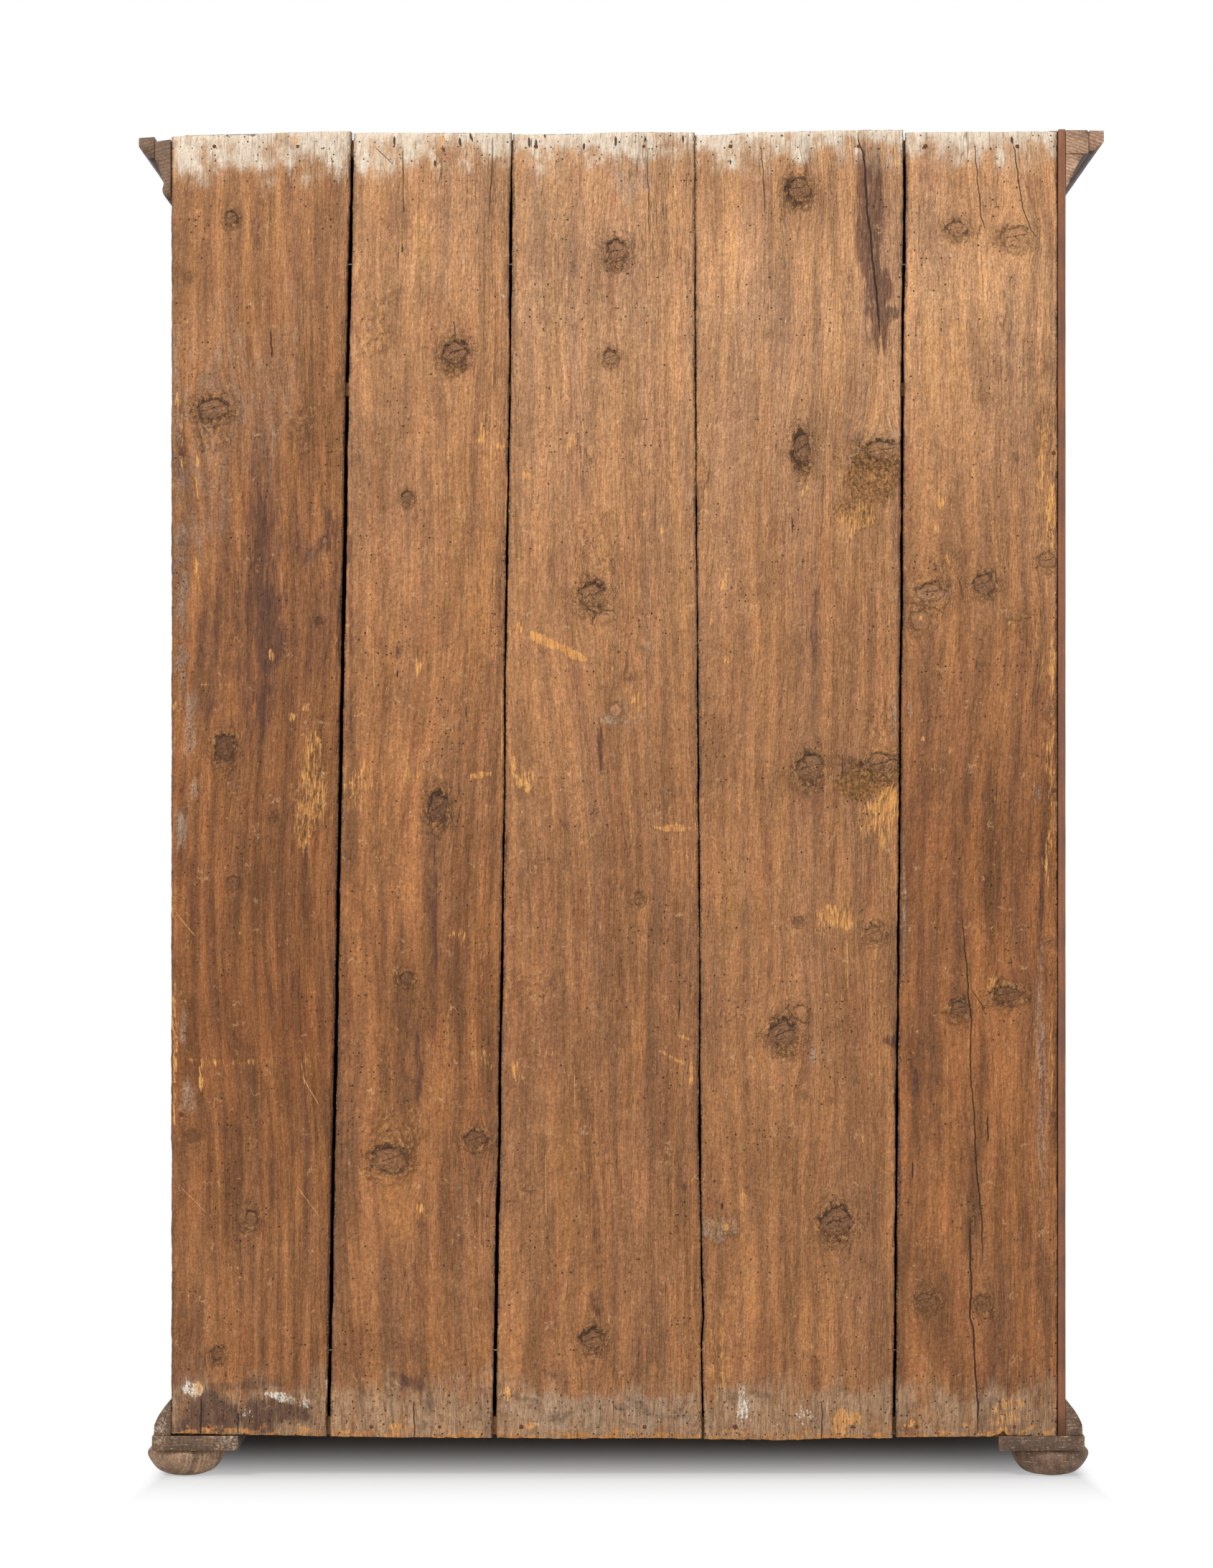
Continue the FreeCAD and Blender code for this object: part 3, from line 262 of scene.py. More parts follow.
# Cracks and slots running down the boards: width, then points
CRACKS = (
    (2.4, (1195, 182), (1197, 200), (1203, 215), (1206, 260), (1208, 290), (1212, 320), (1216, 360), (1219, 385),
     (1224, 430), (1227, 470)),
    (0.9, (687, 185), (684, 250), (682, 305)), (0.9, (1358, 195), (1362, 250), (1366, 300), (1375, 325)),
    (1.1, (1412, 195), (1418, 240), (1424, 290), (1437, 320), (1447, 333)),
    (1.5, (1339, 1265), (1343, 1310), (1347, 1350), (1350, 1395), (1354, 1420), (1352, 1450), (1353, 1500),
     (1357, 1550), (1359, 1600), (1363, 1650), (1368, 1700), (1369, 1768)),
    (2.2, (1351, 1690), (1353, 1790), (1352, 1835), (1357, 1860), (1358, 1900), (1361, 1935), (1363, 1955),
     (1363, 2001)),
    (0.9, (521, 203), (548, 230)), (1.7, (378, 458), (378, 499)), (1.6, (281, 1946), (280, 2000)),
    (1.3, (332, 1968), (332, 2000)), (1.3, (577, 1950), (577, 2004)), (1.1, (650, 983), (650, 1001)),
    (1.1, (947, 1388), (947, 1422)), (1.3, (1145, 1950), (1145, 2006)), (1.6, (1376, 1553), (1376, 1592)),
    (1.6, (1272, 1618), (1272, 1642)), (2.8, (550, 190), (550, 203)), (3.2, (641, 192), (642, 204)),
    (3.0, (655, 185), (659, 197)), (3.0, (736, 191), (737, 205)), (3.0, (746, 194), (746, 206)),
    (2.6, (758, 186), (759, 192)), (3.0, (813, 199), (813, 209)), (3.0, (857, 190), (857, 204)),
    (2.6, (898, 189), (898, 199)), (2.4, (951, 188), (951, 198)), (2.8, (617, 203), (619, 212)),
    (3.0, (1410, 190), (1411, 200)), (2.4, (605, 223), (606, 232)), (2.4, (1017, 222), (1017, 229)),
    (2.0, (560, 340), (560, 350)), (1.4, (1103, 720), (1104, 742)), (2.6, (1006, 1676), (1006, 1684)),
    (2.0, (554, 934), (554, 944)), (0.8, (633, 445), (634, 480)), (0.8, (560, 205), (563, 300)),
    (0.7, (902, 200), (905, 330)), (0.7, (1060, 200), (1066, 300)),
)
# Pale or bright thin lines: width, then points
SPLINTERS = (
    (1.6, (738, 258), (735, 300), (730, 338)), (3.4, (617, 184), (618, 206)),
    (1.4, (245, 1270), (258, 1288), (273, 1305)), (2.0, (706.5, 660), (705.5, 755)), (1.3, (699, 955), (699, 1062)),
    (1.3, (865, 700), (866, 740)), (1.2, (770, 340), (771, 420)), (1.0, (902, 260), (903, 420)),
    (1.2, (1228, 470), (1230, 505)), (1.2, (420, 1498), (446, 1542)), (1.2, (412, 1650), (446, 1696)),
    (1.0, (250, 1652), (288, 1690)), (1.4, (1301, 728), (1307, 744)), (1.2, (580, 290), (581, 350)),
    (1.0, (1025, 450), (1026, 520)), (1.2, (1072, 400), (1073, 440)), (1.0, (520, 900), (521, 960)),
    (1.0, (800, 1480), (801, 1560)), (1.0, (1180, 1300), (1181, 1380)), (1.0, (760, 1600), (761, 1700)),
    (1.0, (1320, 1470), (1320, 1500)), (2.2, (857, 186), (852, 200)), (2.0, (900, 188), (894, 200)),
)

# How light each board is down its height, the average being 1: (pixel down, lightness). It is partly the wood's own
# tone and partly painted light, lighter towards the top where more light falls
TONES_AND_PAINTED_LIGHT = (
    ((200, 1.1), (700, 0.85), (1200, 0.72), (1450, 0.64), (1750, 0.84)),
    ((330, 1.3), (900, 0.95), (1400, 0.75), (1800, 0.9)),
    ((430, 1.4), (900, 1.1), (1400, 0.9), (1900, 0.95)),
    ((200, 1.3), (430, 1.45), (900, 1.05), (1600, 0.97)),
    ((200, 1.3), (415, 1.45), (900, 0.9), (1180, 0.68), (1800, 0.8)),
)
# Height of the whitish band at the top of each board, in pixels down
WHITE_TOPS = (240, 226, 222, 218, 216)
# Middle of the growth rings of each board: pixel across, pixels below the surface at the top and the bottom
RING_MIDDLES = ((300, 60, 24), (640, 34, 70), (790, 90, 18), (1080, 26, 62), (1400, 70, 30))


# ---------------------------------------------------------------- fields over the back, worked out at its vertices

def patch_field(px, py, patches):
    """Strength of the strongest patch at each place; the patches have uneven outlines."""
    total = np.zeros_like(px)
    for number, (x, y, wide, high, strength, *lean) in enumerate(patches):
        turn = math.radians(lean[0] if lean else 0)
        dx, dy = px - x, py - y
        u = (dx * math.cos(turn) + dy * math.sin(turn)) / wide
        v = (dy * math.cos(turn) - dx * math.sin(turn)) / high
        near = (np.abs(u) < 2) & (np.abs(v) < 2)
        u, v = u[near], v[near]
        bent_u = u + 0.45 * wave(u * 1.4 + number * 3.1, v * 1.9, 81) + 0.18 * wave(u * 4, v * 4 + number, 83)
        bent_v = v + 0.45 * wave(u * 1.6, v * 1.3 + number * 2.7, 82) + 0.30 * wave(u * 5 + number, v * 1.5, 84)
        total[near] = np.maximum(total[near], strength * np.clip(1.3 - bent_u ** 2 - bent_v ** 2, 0, 1))
    return total


def line_field(px, py, lines):
    """Distance across to the nearest line and that line's width, tapering to nothing at its ends."""
    offset = np.full(px.shape, 99.0)
    width = np.zeros_like(px)
    for full_width, *points in lines:
        xs = [p[0] for p in points]
        ys = [p[1] for p in points]
        middle = np.interp(py, ys, xs)
        beyond = np.minimum(py - ys[0], ys[-1] - py)
        taper = np.clip(beyond / (0.1 * (ys[-1] - ys[0]) + 1.5), 0, 1)
        apart = px - middle
        nearer = (beyond > -4) & (np.abs(apart) < np.abs(offset))
        offset[nearer] = apart[nearer]
        width[nearer] = full_width * taper[nearer]
    return offset, width


def knot_field(px, py, knots):
    """Place within the nearest knot, its heart and fringe, and how far the knots push the grain aside."""
    near = np.full(px.shape, 1e9)
    u, v, heart, fringe, kind, push = (np.zeros_like(px) for _ in range(6))
    for x, y, wide, high, pale, torn in knots:
        du, dv = (px - x) / wide, (py - y) / high
        apart = np.hypot(du, dv)
        push += (px - x) * 0.95 / (du * du + (dv / 2.1) ** 2 + 0.4)
        nearer = apart < near
        near[nearer] = apart[nearer]
        u[nearer], v[nearer] = du[nearer], dv[nearer]
        heart[nearer], fringe[nearer], kind[nearer] = pale, torn, (x * 0.37 + y * 0.113) % 50
    return near, u, v, heart, fringe, kind, push


def set_vectors(mesh, name, x, y, z):
    stored = mesh.attributes.new(name, "FLOAT_VECTOR", "POINT")
    stored.data.foreach_set("vector", np.stack([x, y, z], -1).astype(np.float32).ravel())


def seam_side(line, rows, side, seed):
    """Pixel of the board's edge on one side of a seam, a little ragged."""
    if line is None:
        middle, gap = (LEFT_EDGE if side > 0 else RIGHT_EDGE), 0
    else:
        heights, middles, gaps = zip(*line)
        middle, gap = np.interp(rows, heights, middles), np.interp(rows, heights, gaps)
    ragged = 0.35 * wave(rows / 11, 0, seed) + 0.3 * wave(rows / 4.5, 3, seed) + 0.5 * wave(rows / 45, 7, seed)
    return middle + side * gap / 2 + ragged


# Heights, in pixels down, where a board's mesh starts, gets coarser, gets finer again and ends
TOP, BELOW_TOP, ABOVE_END, END = 183, 243, 1940, 2002
LENGTH = 1820
# Columns beside each edge, pixels from it, and the distance between the columns in the middle
EDGE_STEPS = np.array([0, 0.5, 1.2, 2.2, 3.6, 5.4, 7.6])
COLUMN = 2.35
# Rows of points down the thickness of an edge, as shares of it, and columns of the plain inside
SIDE_DEPTHS = np.array([0.35, 0.75])
INNER_COLUMNS = 6
# Pixels that the relief may go in, and the height where the dust on the low ends starts
DEEPEST = 9
LOW_DUST = 1880
# Radius of the worn arrises of each board in pixels, on the picture's left and right
ARRISES = ((1.6, 5.0), (3.0, 2.0), (1.8, 1.2), (1.2, 2.4), (2.6, 3.4))


def back_board(index):
    """Mesh of one board of the back: a fine sheet with worn edges on the outside, closed behind."""
    rows = np.concatenate([np.arange(TOP, BELOW_TOP, 2.2), np.arange(BELOW_TOP, ABOVE_END, 3.5),
                           np.arange(ABOVE_END, END, 2.4), [END]])
    left = seam_side(SEAMS[index - 1] if index else None, rows, 1, 11 + index)
    right = seam_side(SEAMS[index] if index < 4 else None, rows, -1, 31 + index)
    inside = int(round((np.mean(right - left) - 2 * EDGE_STEPS[-1]) / COLUMN))
    share = np.linspace(0, 1, inside + 1)[1:-1]
    start, end = left + EDGE_STEPS[-1], right - EDGE_STEPS[-1]
    px = np.concatenate([left[:, None] + EDGE_STEPS, start[:, None] + (end - start)[:, None] * share,
                         right[:, None] - EDGE_STEPS[::-1]], axis=1)
    top = np.interp(px, *zip(*TOPS[index])) + 0.5 * wave(px / 6, 1, index) + 0.35 * wave(px / 2.4, 2, index)
    low = np.interp(px, *zip(*BOTTOMS[index])) + 0.7 * wave(px / 7, 3, index) + 0.4 * wave(px / 2.4, 4, index)
    py = np.broadcast_to(rows[:, None], px.shape)
    py = py + (top - TOP) * (1 - ramp_up(py, TOP, BELOW_TOP)) + (low - END) * ramp_up(py, ABOVE_END, END)

    near, u, v, heart, fringe, kind, push = knot_field(px, py, KNOTS[index])
    crack_offset, crack_width = line_field(px, py, CRACKS)
    crack_offset = crack_offset + 0.8 * wave(py / 14, 5, index) + 0.4 * wave(py / 5, 6, index)
    splinter_offset, splinter_width = line_field(px, py, SPLINTERS)
    dark, fresh, grey, moss, red, curled, lime = (
        patch_field(px, py, patches) for patches in (DARK, FRESH, GREY, MOSS, RED, CURLED, LIME_AND_SHEEN))

    # Relief, in pixels behind the plane of the back
    from_left, from_right = px - left[:, None], right[:, None] - px
    drop = np.zeros_like(px)
    for side, (apart, radius) in enumerate(zip((from_left, from_right), ARRISES[index]), 1):
        worn = radius * (1 + 0.5 * wave(py / 80, side, index) + 0.3 * wave(py / 17, side + 4, index))
        within = np.clip(1 - apart / worn, 0, 1)
        drop += worn * (1 - np.sqrt(1 - within * within))
    across = (px - left[:, None]) / (right - left)[:, None] * 2 - 1
    drop += 0.8 * across ** 2 + 0.25 * (wave(px / 40, py / 220, index) + 1)
    drop += 0.25 * (wave(px / 14, py / 60, index + 9) + 1)
    drop += np.clip(1.2 - near, 0, 0.3) * -1.2 * (heart < 0.6)
    drop += 1.1 * fringe * ramp_up(v, 0.3, 1.0) * (1 - ramp_up(near, 1.3, 2.2))
    drop += 0.7 * (heart > 0.6) * (1 - ramp_up(near, 0.8, 1.4))
    drop += 0.8 * curled * np.abs(wave(px / 7, py / 9, index + 20))
    drop += 1.2 * (1 - ramp_up(py - top, 0, 5)) + 1.0 * (1 - ramp_up(low - py, 0, 4))
    drop = np.minimum(drop, DEEPEST)

    # Whole cross-section at each row: outside, one edge, inside, other edge
    thick = (REAR - BOARD_FACE) / PIXEL
    inner_share = np.linspace(0, 1, INNER_COLUMNS)
    inner_px = right[:, None] + (left - right)[:, None] * inner_share

    def whole(field, inside=0.0):
        """A field of the outside, carried over both edges, with its own values on the inside."""
        edges = [np.repeat(field[:, [side]], len(SIDE_DEPTHS), axis=1) for side in (-1, 0)]
        return np.concatenate([field, edges[0], np.broadcast_to(inside, inner_px.shape), edges[1]], axis=1)

    all_px = whole(px, inner_px)
    all_py = whole(py, py[:, -1:] + (py[:, :1] - py[:, -1:]) * inner_share)
    side_right = drop[:, -1:] + (thick - drop[:, -1:]) * SIDE_DEPTHS
    side_left = drop[:, :1] + (thick - drop[:, :1]) * SIDE_DEPTHS[::-1]
    all_drop = np.concatenate([drop, side_right, np.full(inner_px.shape, thick), side_left], axis=1)

    points = np.stack([x_of(all_px), REAR - all_drop * PIXEL, z_of(all_py)], -1).reshape(-1, 3)
    number = np.arange(all_px.size).reshape(all_px.shape)
    turned = np.roll(number, -1, axis=1)
    quads = np.stack([number[:-1], number[1:], turned[1:], turned[:-1]], -1).reshape(-1, 4).tolist()
    caps = [number[0].tolist(), number[-1][::-1].tolist()]
    mesh = bpy.data.meshes.new("back_board_face_" + str(index + 1))
    mesh.from_pydata(points.tolist(), [], quads + caps)

    # What the material needs at each point
    middle, deep_top, deep_low = RING_MIDDLES[index]
    deep = deep_top + (deep_low - deep_top) * (py - TOP) / LENGTH + 12 * wave(py / 420, 0, index + 40)
    wander = 10 * wave(py / 420, 1, index + 50) + 1.2 * wave(py / 130, px / 60, index + 60)
    grown = px - push + wander - middle
    ring = whole(grown * 0.75 + np.hypot(grown, deep) * 0.25, inner_px + 40 - middle)
    # Lightness down the board, partly the wood's tone and partly painted light from above
    tone_and_painted_light = np.interp(py, *zip(*TONES_AND_PAINTED_LIGHT[index]))
    white = 1 - ramp_up(py, WHITE_TOPS[index] - 36, WHITE_TOPS[index] + 44)
    weather = ramp_up(py, 1885 + 25 * wave(px / 30, 0, index + 70), 1965)
    edge = 1 - np.clip(np.minimum(from_left, from_right) / 10, 0, 1)
    for name, fields in (
        ("grain", (ring, all_py, np.full(ring.shape, index * 17.3))),
        ("knot", (whole(u, 9), whole(v, 9), whole(heart))),
        ("knot_more", (whole(fringe), whole(near, 9), whole(kind))),
        ("patch_a", (whole(dark), whole(fresh), whole(grey))),
        ("patch_b", (whole(moss), whole(red), whole(curled))),
        ("cracks", (whole(crack_offset, 99), whole(crack_width), whole(np.zeros_like(px), 1))),
        ("splinters", (whole(splinter_offset, 99), whole(splinter_width), whole(tone_and_painted_light, 1.1))),
        ("ends", (whole(np.maximum(white, lime)), whole(weather), whole(edge))),
        ("pale", (whole(lime * (py > LOW_DUST)), whole(1 - np.clip((low - py) / 22, 0, 1)),
                  whole(1 - np.clip((py - top) / 20, 0, 1)))),
    ):
        set_vectors(mesh, name, *fields)

    return mesh


# ---------------------------------------------------------------- material graphs

def paint(red, green, blue):
    """Colour written in the numbers of a picture, 0 to 255."""
    linear = [c / 255 / 12.92 if c <= 10 else ((c / 255 + 0.055) / 1.055) ** 2.4 for c in (red, green, blue)]
    return (*linear, 1.0)


class Value:
    """A node's output that can be added, multiplied and so on."""

    def __init__(self, graph, socket):
        self.graph = graph
        self.socket = socket

    def __add__(self, other):
        return self.graph.math("ADD", self, other)

    def __radd__(self, other):
        return self.graph.math("ADD", other, self)

    def __sub__(self, other):
        return self.graph.math("SUBTRACT", self, other)

    def __rsub__(self, other):
        return self.graph.math("SUBTRACT", other, self)

    def __mul__(self, other):
        return self.graph.math("MULTIPLY", self, other)

    def __rmul__(self, other):
        return self.graph.math("MULTIPLY", other, self)


class Graph:
    """The nodes of one material or world, and the colour that is built up in them."""

    def __init__(self, owner):
        self.owner = owner
        self.owner.use_nodes = True
        self.tree = self.owner.node_tree
        self.tree.nodes.clear()
        self.colour = None

    def node(self, kind, **settings):
        made = self.tree.nodes.new(kind)
        for key, value in settings.items():
            setattr(made, key, value)
        return made

    def join(self, socket, value):
        if isinstance(value, Value):
            self.tree.links.new(value.socket, socket)
        else:
            socket.default_value = value

    def math(self, operation, *values):
        made = self.node("ShaderNodeMath", operation=operation)
        for socket, value in zip(made.inputs, values):
            self.join(socket, value)
        return Value(self, made.outputs[0])

    def size(self, value):
        return self.math("ABSOLUTE", value)

    def low(self, a, b):
        return self.math("MINIMUM", a, b)

    def high(self, a, b):
        return self.math("MAXIMUM", a, b)

    def length(self, a, b):
        return self.math("SQRT", a * a + b * b)

    def smooth(self, value, low, high, start=0.0, end=1.0):
        made = self.node("ShaderNodeMapRange", interpolation_type="SMOOTHSTEP")
        for socket, given in zip(made.inputs, (value, low, high, start, end)):
            self.join(socket, given)
        return Value(self, made.outputs[0])

    def scaled(self, place, *factors):
        """The place times one factor, or times one factor for each direction."""
        return self.vector(*(part * factor for part, factor in zip(place, factors * 3)))

    def vector(self, x, y, z=0.0):
        made = self.node("ShaderNodeCombineXYZ")
        for socket, value in zip(made.inputs, (x, y, z)):
            self.join(socket, value)
        return Value(self, made.outputs[0])

    def split(self, vector):
        made = self.node("ShaderNodeSeparateXYZ")
        self.join(made.inputs[0], vector)
        return [Value(self, out) for out in made.outputs]

    def attribute(self, name):
        made = self.node("ShaderNodeAttribute", attribute_name=name)
        return self.split(Value(self, made.outputs["Vector"]))

    def place(self, unit):
        """Place on the piece, at rest, in a unit given in metres."""
        made = self.node("ShaderNodeTexCoord")
        return [part * (1 / unit) for part in self.split(Value(self, made.outputs["Object"]))]

    def facing(self):
        made = self.node("ShaderNodeTexCoord")
        return self.split(Value(self, made.outputs["Normal"]))

    def noise(self, vector, detail=2.0, rough=0.5, warp=0.0):
        made = self.node("ShaderNodeTexNoise", noise_dimensions="3D")
        for name, value in (("Vector", vector), ("Scale", 1.0), ("Detail", detail), ("Roughness", rough),
                            ("Distortion", warp)):
            self.join(made.inputs[name], value)
        return Value(self, made.outputs[0])

    def cells(self, vector, flat=False):
        """Distance to the nearest of scattered points, and three chances of that point."""
        made = self.node("ShaderNodeTexVoronoi", voronoi_dimensions="2D" if flat else "3D", feature="F1")
        self.join(made.inputs["Vector"], vector)
        made.inputs["Scale"].default_value = 1
        chances = self.node("ShaderNodeSeparateColor")
        self.tree.links.new(made.outputs["Color"], chances.inputs[0])
        return Value(self, made.outputs["Distance"]), [Value(self, out) for out in chances.outputs]

    def mix(self, share, a, b, mode="MIX"):
        made = self.node("ShaderNodeMix", data_type="RGBA", blend_type=mode)
        for index, value in ((0, share), (6, a), (7, b)):
            self.join(made.inputs[index], value)
        return Value(self, made.outputs[2])

    def shade(self, colour, factor):
        """The colour multiplied by one number."""
        made = self.node("ShaderNodeVectorMath", operation="SCALE")
        self.join(made.inputs[0], colour)
        self.join(made.inputs["Scale"], factor)
        return Value(self, made.outputs[0])

    def coat(self, share, *tint):
        """Cover a share of the colour so far with another: three picture numbers, or one value."""
        self.colour = self.mix(share, self.colour, paint(*tint) if len(tint) == 3 else tint[0])

    def dim(self, factor):
        """Multiply the colour so far by one number."""
        self.colour = self.shade(self.colour, factor)

    def ray_is(self, *kinds):
        """1 for rays of any of these kinds."""
        rays = self.node("ShaderNodeLightPath")
        *others, any_of = (Value(self, rays.outputs["Is " + kind + " Ray"]) for kind in kinds)
        for other in reversed(others):
            any_of = self.high(other, any_of)
        return any_of

    def finish(self, roughness, height, settings):
        """A shader with the colour built up so far."""
        shader = self.node("ShaderNodeBsdfPrincipled")
        self.join(shader.inputs["Base Color"], self.colour)
        self.join(shader.inputs["Roughness"], roughness)
        for name, value in settings.items():
            shader.inputs[name].default_value = value
        bump = self.node("ShaderNodeBump")
        bump.inputs["Distance"].default_value = MM
        self.join(bump.inputs["Height"], height)
        self.tree.links.new(bump.outputs["Normal"], shader.inputs["Normal"])
        out = self.node("ShaderNodeOutputMaterial")
        self.tree.links.new(shader.outputs[0], out.inputs["Surface"])
        return self.owner

    def two_ways(self, share, output, *kinds):
        """The output as a mix of two shaders, each given as its kind, grey and strength."""
        both = self.node("ShaderNodeMixShader")
        self.join(both.inputs[0], share)
        for socket, (kind, grey, strength) in zip(list(both.inputs)[1:], kinds):
            made = self.node(kind)
            made.inputs["Color"].default_value = (grey, grey, grey, 1)
            if strength is not None:
                made.inputs["Strength"].default_value = strength
            self.tree.links.new(made.outputs[0], socket)
        out = self.node(output)
        self.tree.links.new(both.outputs[0], out.inputs["Surface"])
        return self.owner


def aged_back():
    """Bare, brown and worn softwood of the back, driven by the fields stored on the boards."""
    g = Graph(bpy.data.materials.new("back_softwood_aged"))
    ring, along, seed = g.attribute("grain")
    u, v, heart = g.attribute("knot")
    fringe, near, kind = g.attribute("knot_more")
    dark, fresh, grey = g.attribute("patch_a")
    moss, red, curled = g.attribute("patch_b")
    crack_offset, crack_width, inner = g.attribute("cracks")
    splinter_offset, splinter_width, tone_and_painted_light = g.attribute("splinters")
    white, weather, edge = g.attribute("ends")
    lime, near_low, near_top = g.attribute("pale")
    px, _, pz = g.place(PIXEL)

    def with_grain(across, down, shift, *settings):
        """Noise drawn out along the grain."""
        return g.noise(g.vector(ring * across, along * down, seed + shift), *settings)

    def over_face(across, down, shift, *settings):
        """Noise over the plane of the back."""
        return g.noise(g.vector(px * across, pz * down, seed + shift), *settings)

    # Wood: soft streaks, growth rings, fibres and pits, then the lightness of each board down its height, partly its
    # own tone and partly painted light from above
    band = g.noise(g.vector(ring * 0.030, along * 0.0020, seed), 2, 0.45)
    streak = with_grain(0.085, 0.0045, 7, 3, 0.55)
    fine = with_grain(0.26, 0.012, 11, 5, 0.68)
    fibre = with_grain(0.75, 0.060, 17, 3, 0.75)
    scuff = with_grain(0.42, 0.030, 19, 3, 0.7)
    pit = over_face(0.62, 0.40, 21, 1)
    patina = over_face(0.011, 0.008, 23, 5, 0.6)
    blotch = over_face(0.050, 0.036, 25, 4, 0.6)
    grit = over_face(0.36, 0.26, 29, 3, 0.8)
    phase = ring * 0.205 + with_grain(0.035, 0.0016, 31, 2) * 4.0
    saw = g.math("FRACT", phase)
    late = g.smooth(saw, 0.30, 0.82) * g.smooth(saw, 1.0, 0.86)
    late = late * g.smooth(with_grain(0.02, 0.0011, 33, 2), 0.44, 0.66, 0.08, 1.0)
    late = late * g.smooth(fibre, 0.30, 0.55, 0.4, 1.0)

    g.colour = g.mix(g.smooth(streak, 0.34, 0.66), paint(142, 98, 63), paint(170, 117, 75))
    gold = with_grain(0.050, 0.0035, 8, 3, 0.6)
    ruddy = with_grain(0.060, 0.0045, 9, 3, 0.6)
    g.coat(g.smooth(gold, 0.54, 0.68) * 0.34, 190, 132, 76)
    g.coat(g.smooth(ruddy, 0.54, 0.68) * 0.38, 142, 86, 58)
    g.coat(g.smooth(band, 0.47, 0.64) * 0.36, 136, 98, 74)
    g.coat(g.smooth(blotch, 0.46, 0.66) * 0.42, 170, 122, 84)
    g.coat(g.smooth(fine, 0.56, 0.78) * 0.26, 204, 150, 96)
    g.coat(late * 0.30, 108, 67, 42)
    vein = g.smooth(g.size(with_grain(0.13, 0.0018, 65, 2, 0.4) - 0.5), 0.050, 0.008)
    vein = vein * g.smooth(with_grain(0.020, 0.0030, 66, 2), 0.42, 0.58, 0.20, 1.0)
    g.coat(vein * 0.20, 100, 62, 41)
    g.coat(g.smooth(scuff, 0.60, 0.72) * g.smooth(grit, 0.38, 0.55) * 0.32, 212, 166, 108)
    g.coat(g.smooth(scuff, 0.40, 0.28) * 0.35, 116, 76, 52)
    g.coat(g.smooth(pit, 0.36, 0.24) * 0.40, 96, 64, 44)
    g.coat(g.smooth(pit, 0.66, 0.78) * 0.35, 216, 176, 132)
    g.coat(inner * 0.7, 202, 146, 98)
    crisp = g.smooth(grit, 0.34, 0.66)
    hairs = g.smooth(fibre, 0.34, 0.66)
    g.dim((0.72 + 0.58 * fine) * (0.82 + 0.36 * hairs) * (0.80 + 0.40 * crisp) * (0.71 + 0.58 * patina)
          * (1.0 + (streak - 0.5) * g.smooth(tone_and_painted_light, 1.1, 0.7, 0.35, 1.5)))
    warm = g.vector(tone_and_painted_light * 0.98, g.math("POWER", tone_and_painted_light, 1.42) * 0.97, g.math("POWER", tone_and_painted_light, 1.95) * 0.92)
    g.colour = g.mix(1.0, g.colour, warm, "MULTIPLY")

    # Patches: each field frays along the grain
    thread = g.smooth(fine * 0.5 + fibre * 0.5, 0.36, 0.62)
    fray = g.smooth(with_grain(0.16, 0.022, 37, 4, 0.7), 0.25, 0.75)
    grain_fray = g.smooth(fine * 0.45 + fibre * 0.3 + blotch * 0.25, 0.38, 0.62)
    grey_mask = g.smooth(grey * (0.45 + 1.5 * fray), 0.10, 0.80) * (0.35 + 0.65 * grain_fray)
    grey_mask = grey_mask * g.smooth(crisp * 0.5 + fray * 0.5, 0.25, 0.65)
    g.coat(grey_mask * 0.72, 176, 156, 136)
    red_mask = g.smooth(red * (0.4 + 1.2 * fray), 0.12, 0.75)
    g.coat(red_mask * 0.5, 112, 62, 42)
    dark_mask = g.smooth(dark * (0.35 + 1.3 * fray), 0.12, 0.85)
    g.coat(dark_mask * 0.74, g.mix(thread, paint(58, 36, 32), paint(88, 56, 44)))
    moss_noise = over_face(0.26, 0.20, 43, 4, 0.75)
    moss_mask = g.smooth(moss * (0.3 + 1.4 * fray), 0.08, 0.8)
    g.coat(moss_mask * g.smooth(moss_noise, 0.40, 0.58) * 0.66, 100, 68, 34)
    g.coat(moss_mask * g.smooth(moss_noise, 0.46, 0.30) * 0.60, 212, 158, 86)
    mossy = g.smooth(moss + (moss_noise - 0.5) * 1.2, 0.45, 1.25)
    g.coat(mossy * 0.66, g.mix(g.smooth(grit * 0.4 + moss_noise * 0.6, 0.60, 0.38),
                               paint(72, 44, 24), paint(186, 128, 66)))

    # Curled, torn grain: paler on the raised ripples, partly fresh fibres and partly painted light, and painted shade
    # in the hollows between them
    ripple = over_face(0.17, 0.10, 47, 3, 0.6, 0.8)
    curl = g.smooth(curled * (0.4 + 1.2 * fray), 0.15, 0.9)
    g.coat(curl * g.smooth(ripple, 0.50, 0.62) * 0.50, 198, 144, 92)
    g.coat(curl * g.smooth(ripple, 0.47, 0.36) * 0.55, 104, 68, 44)

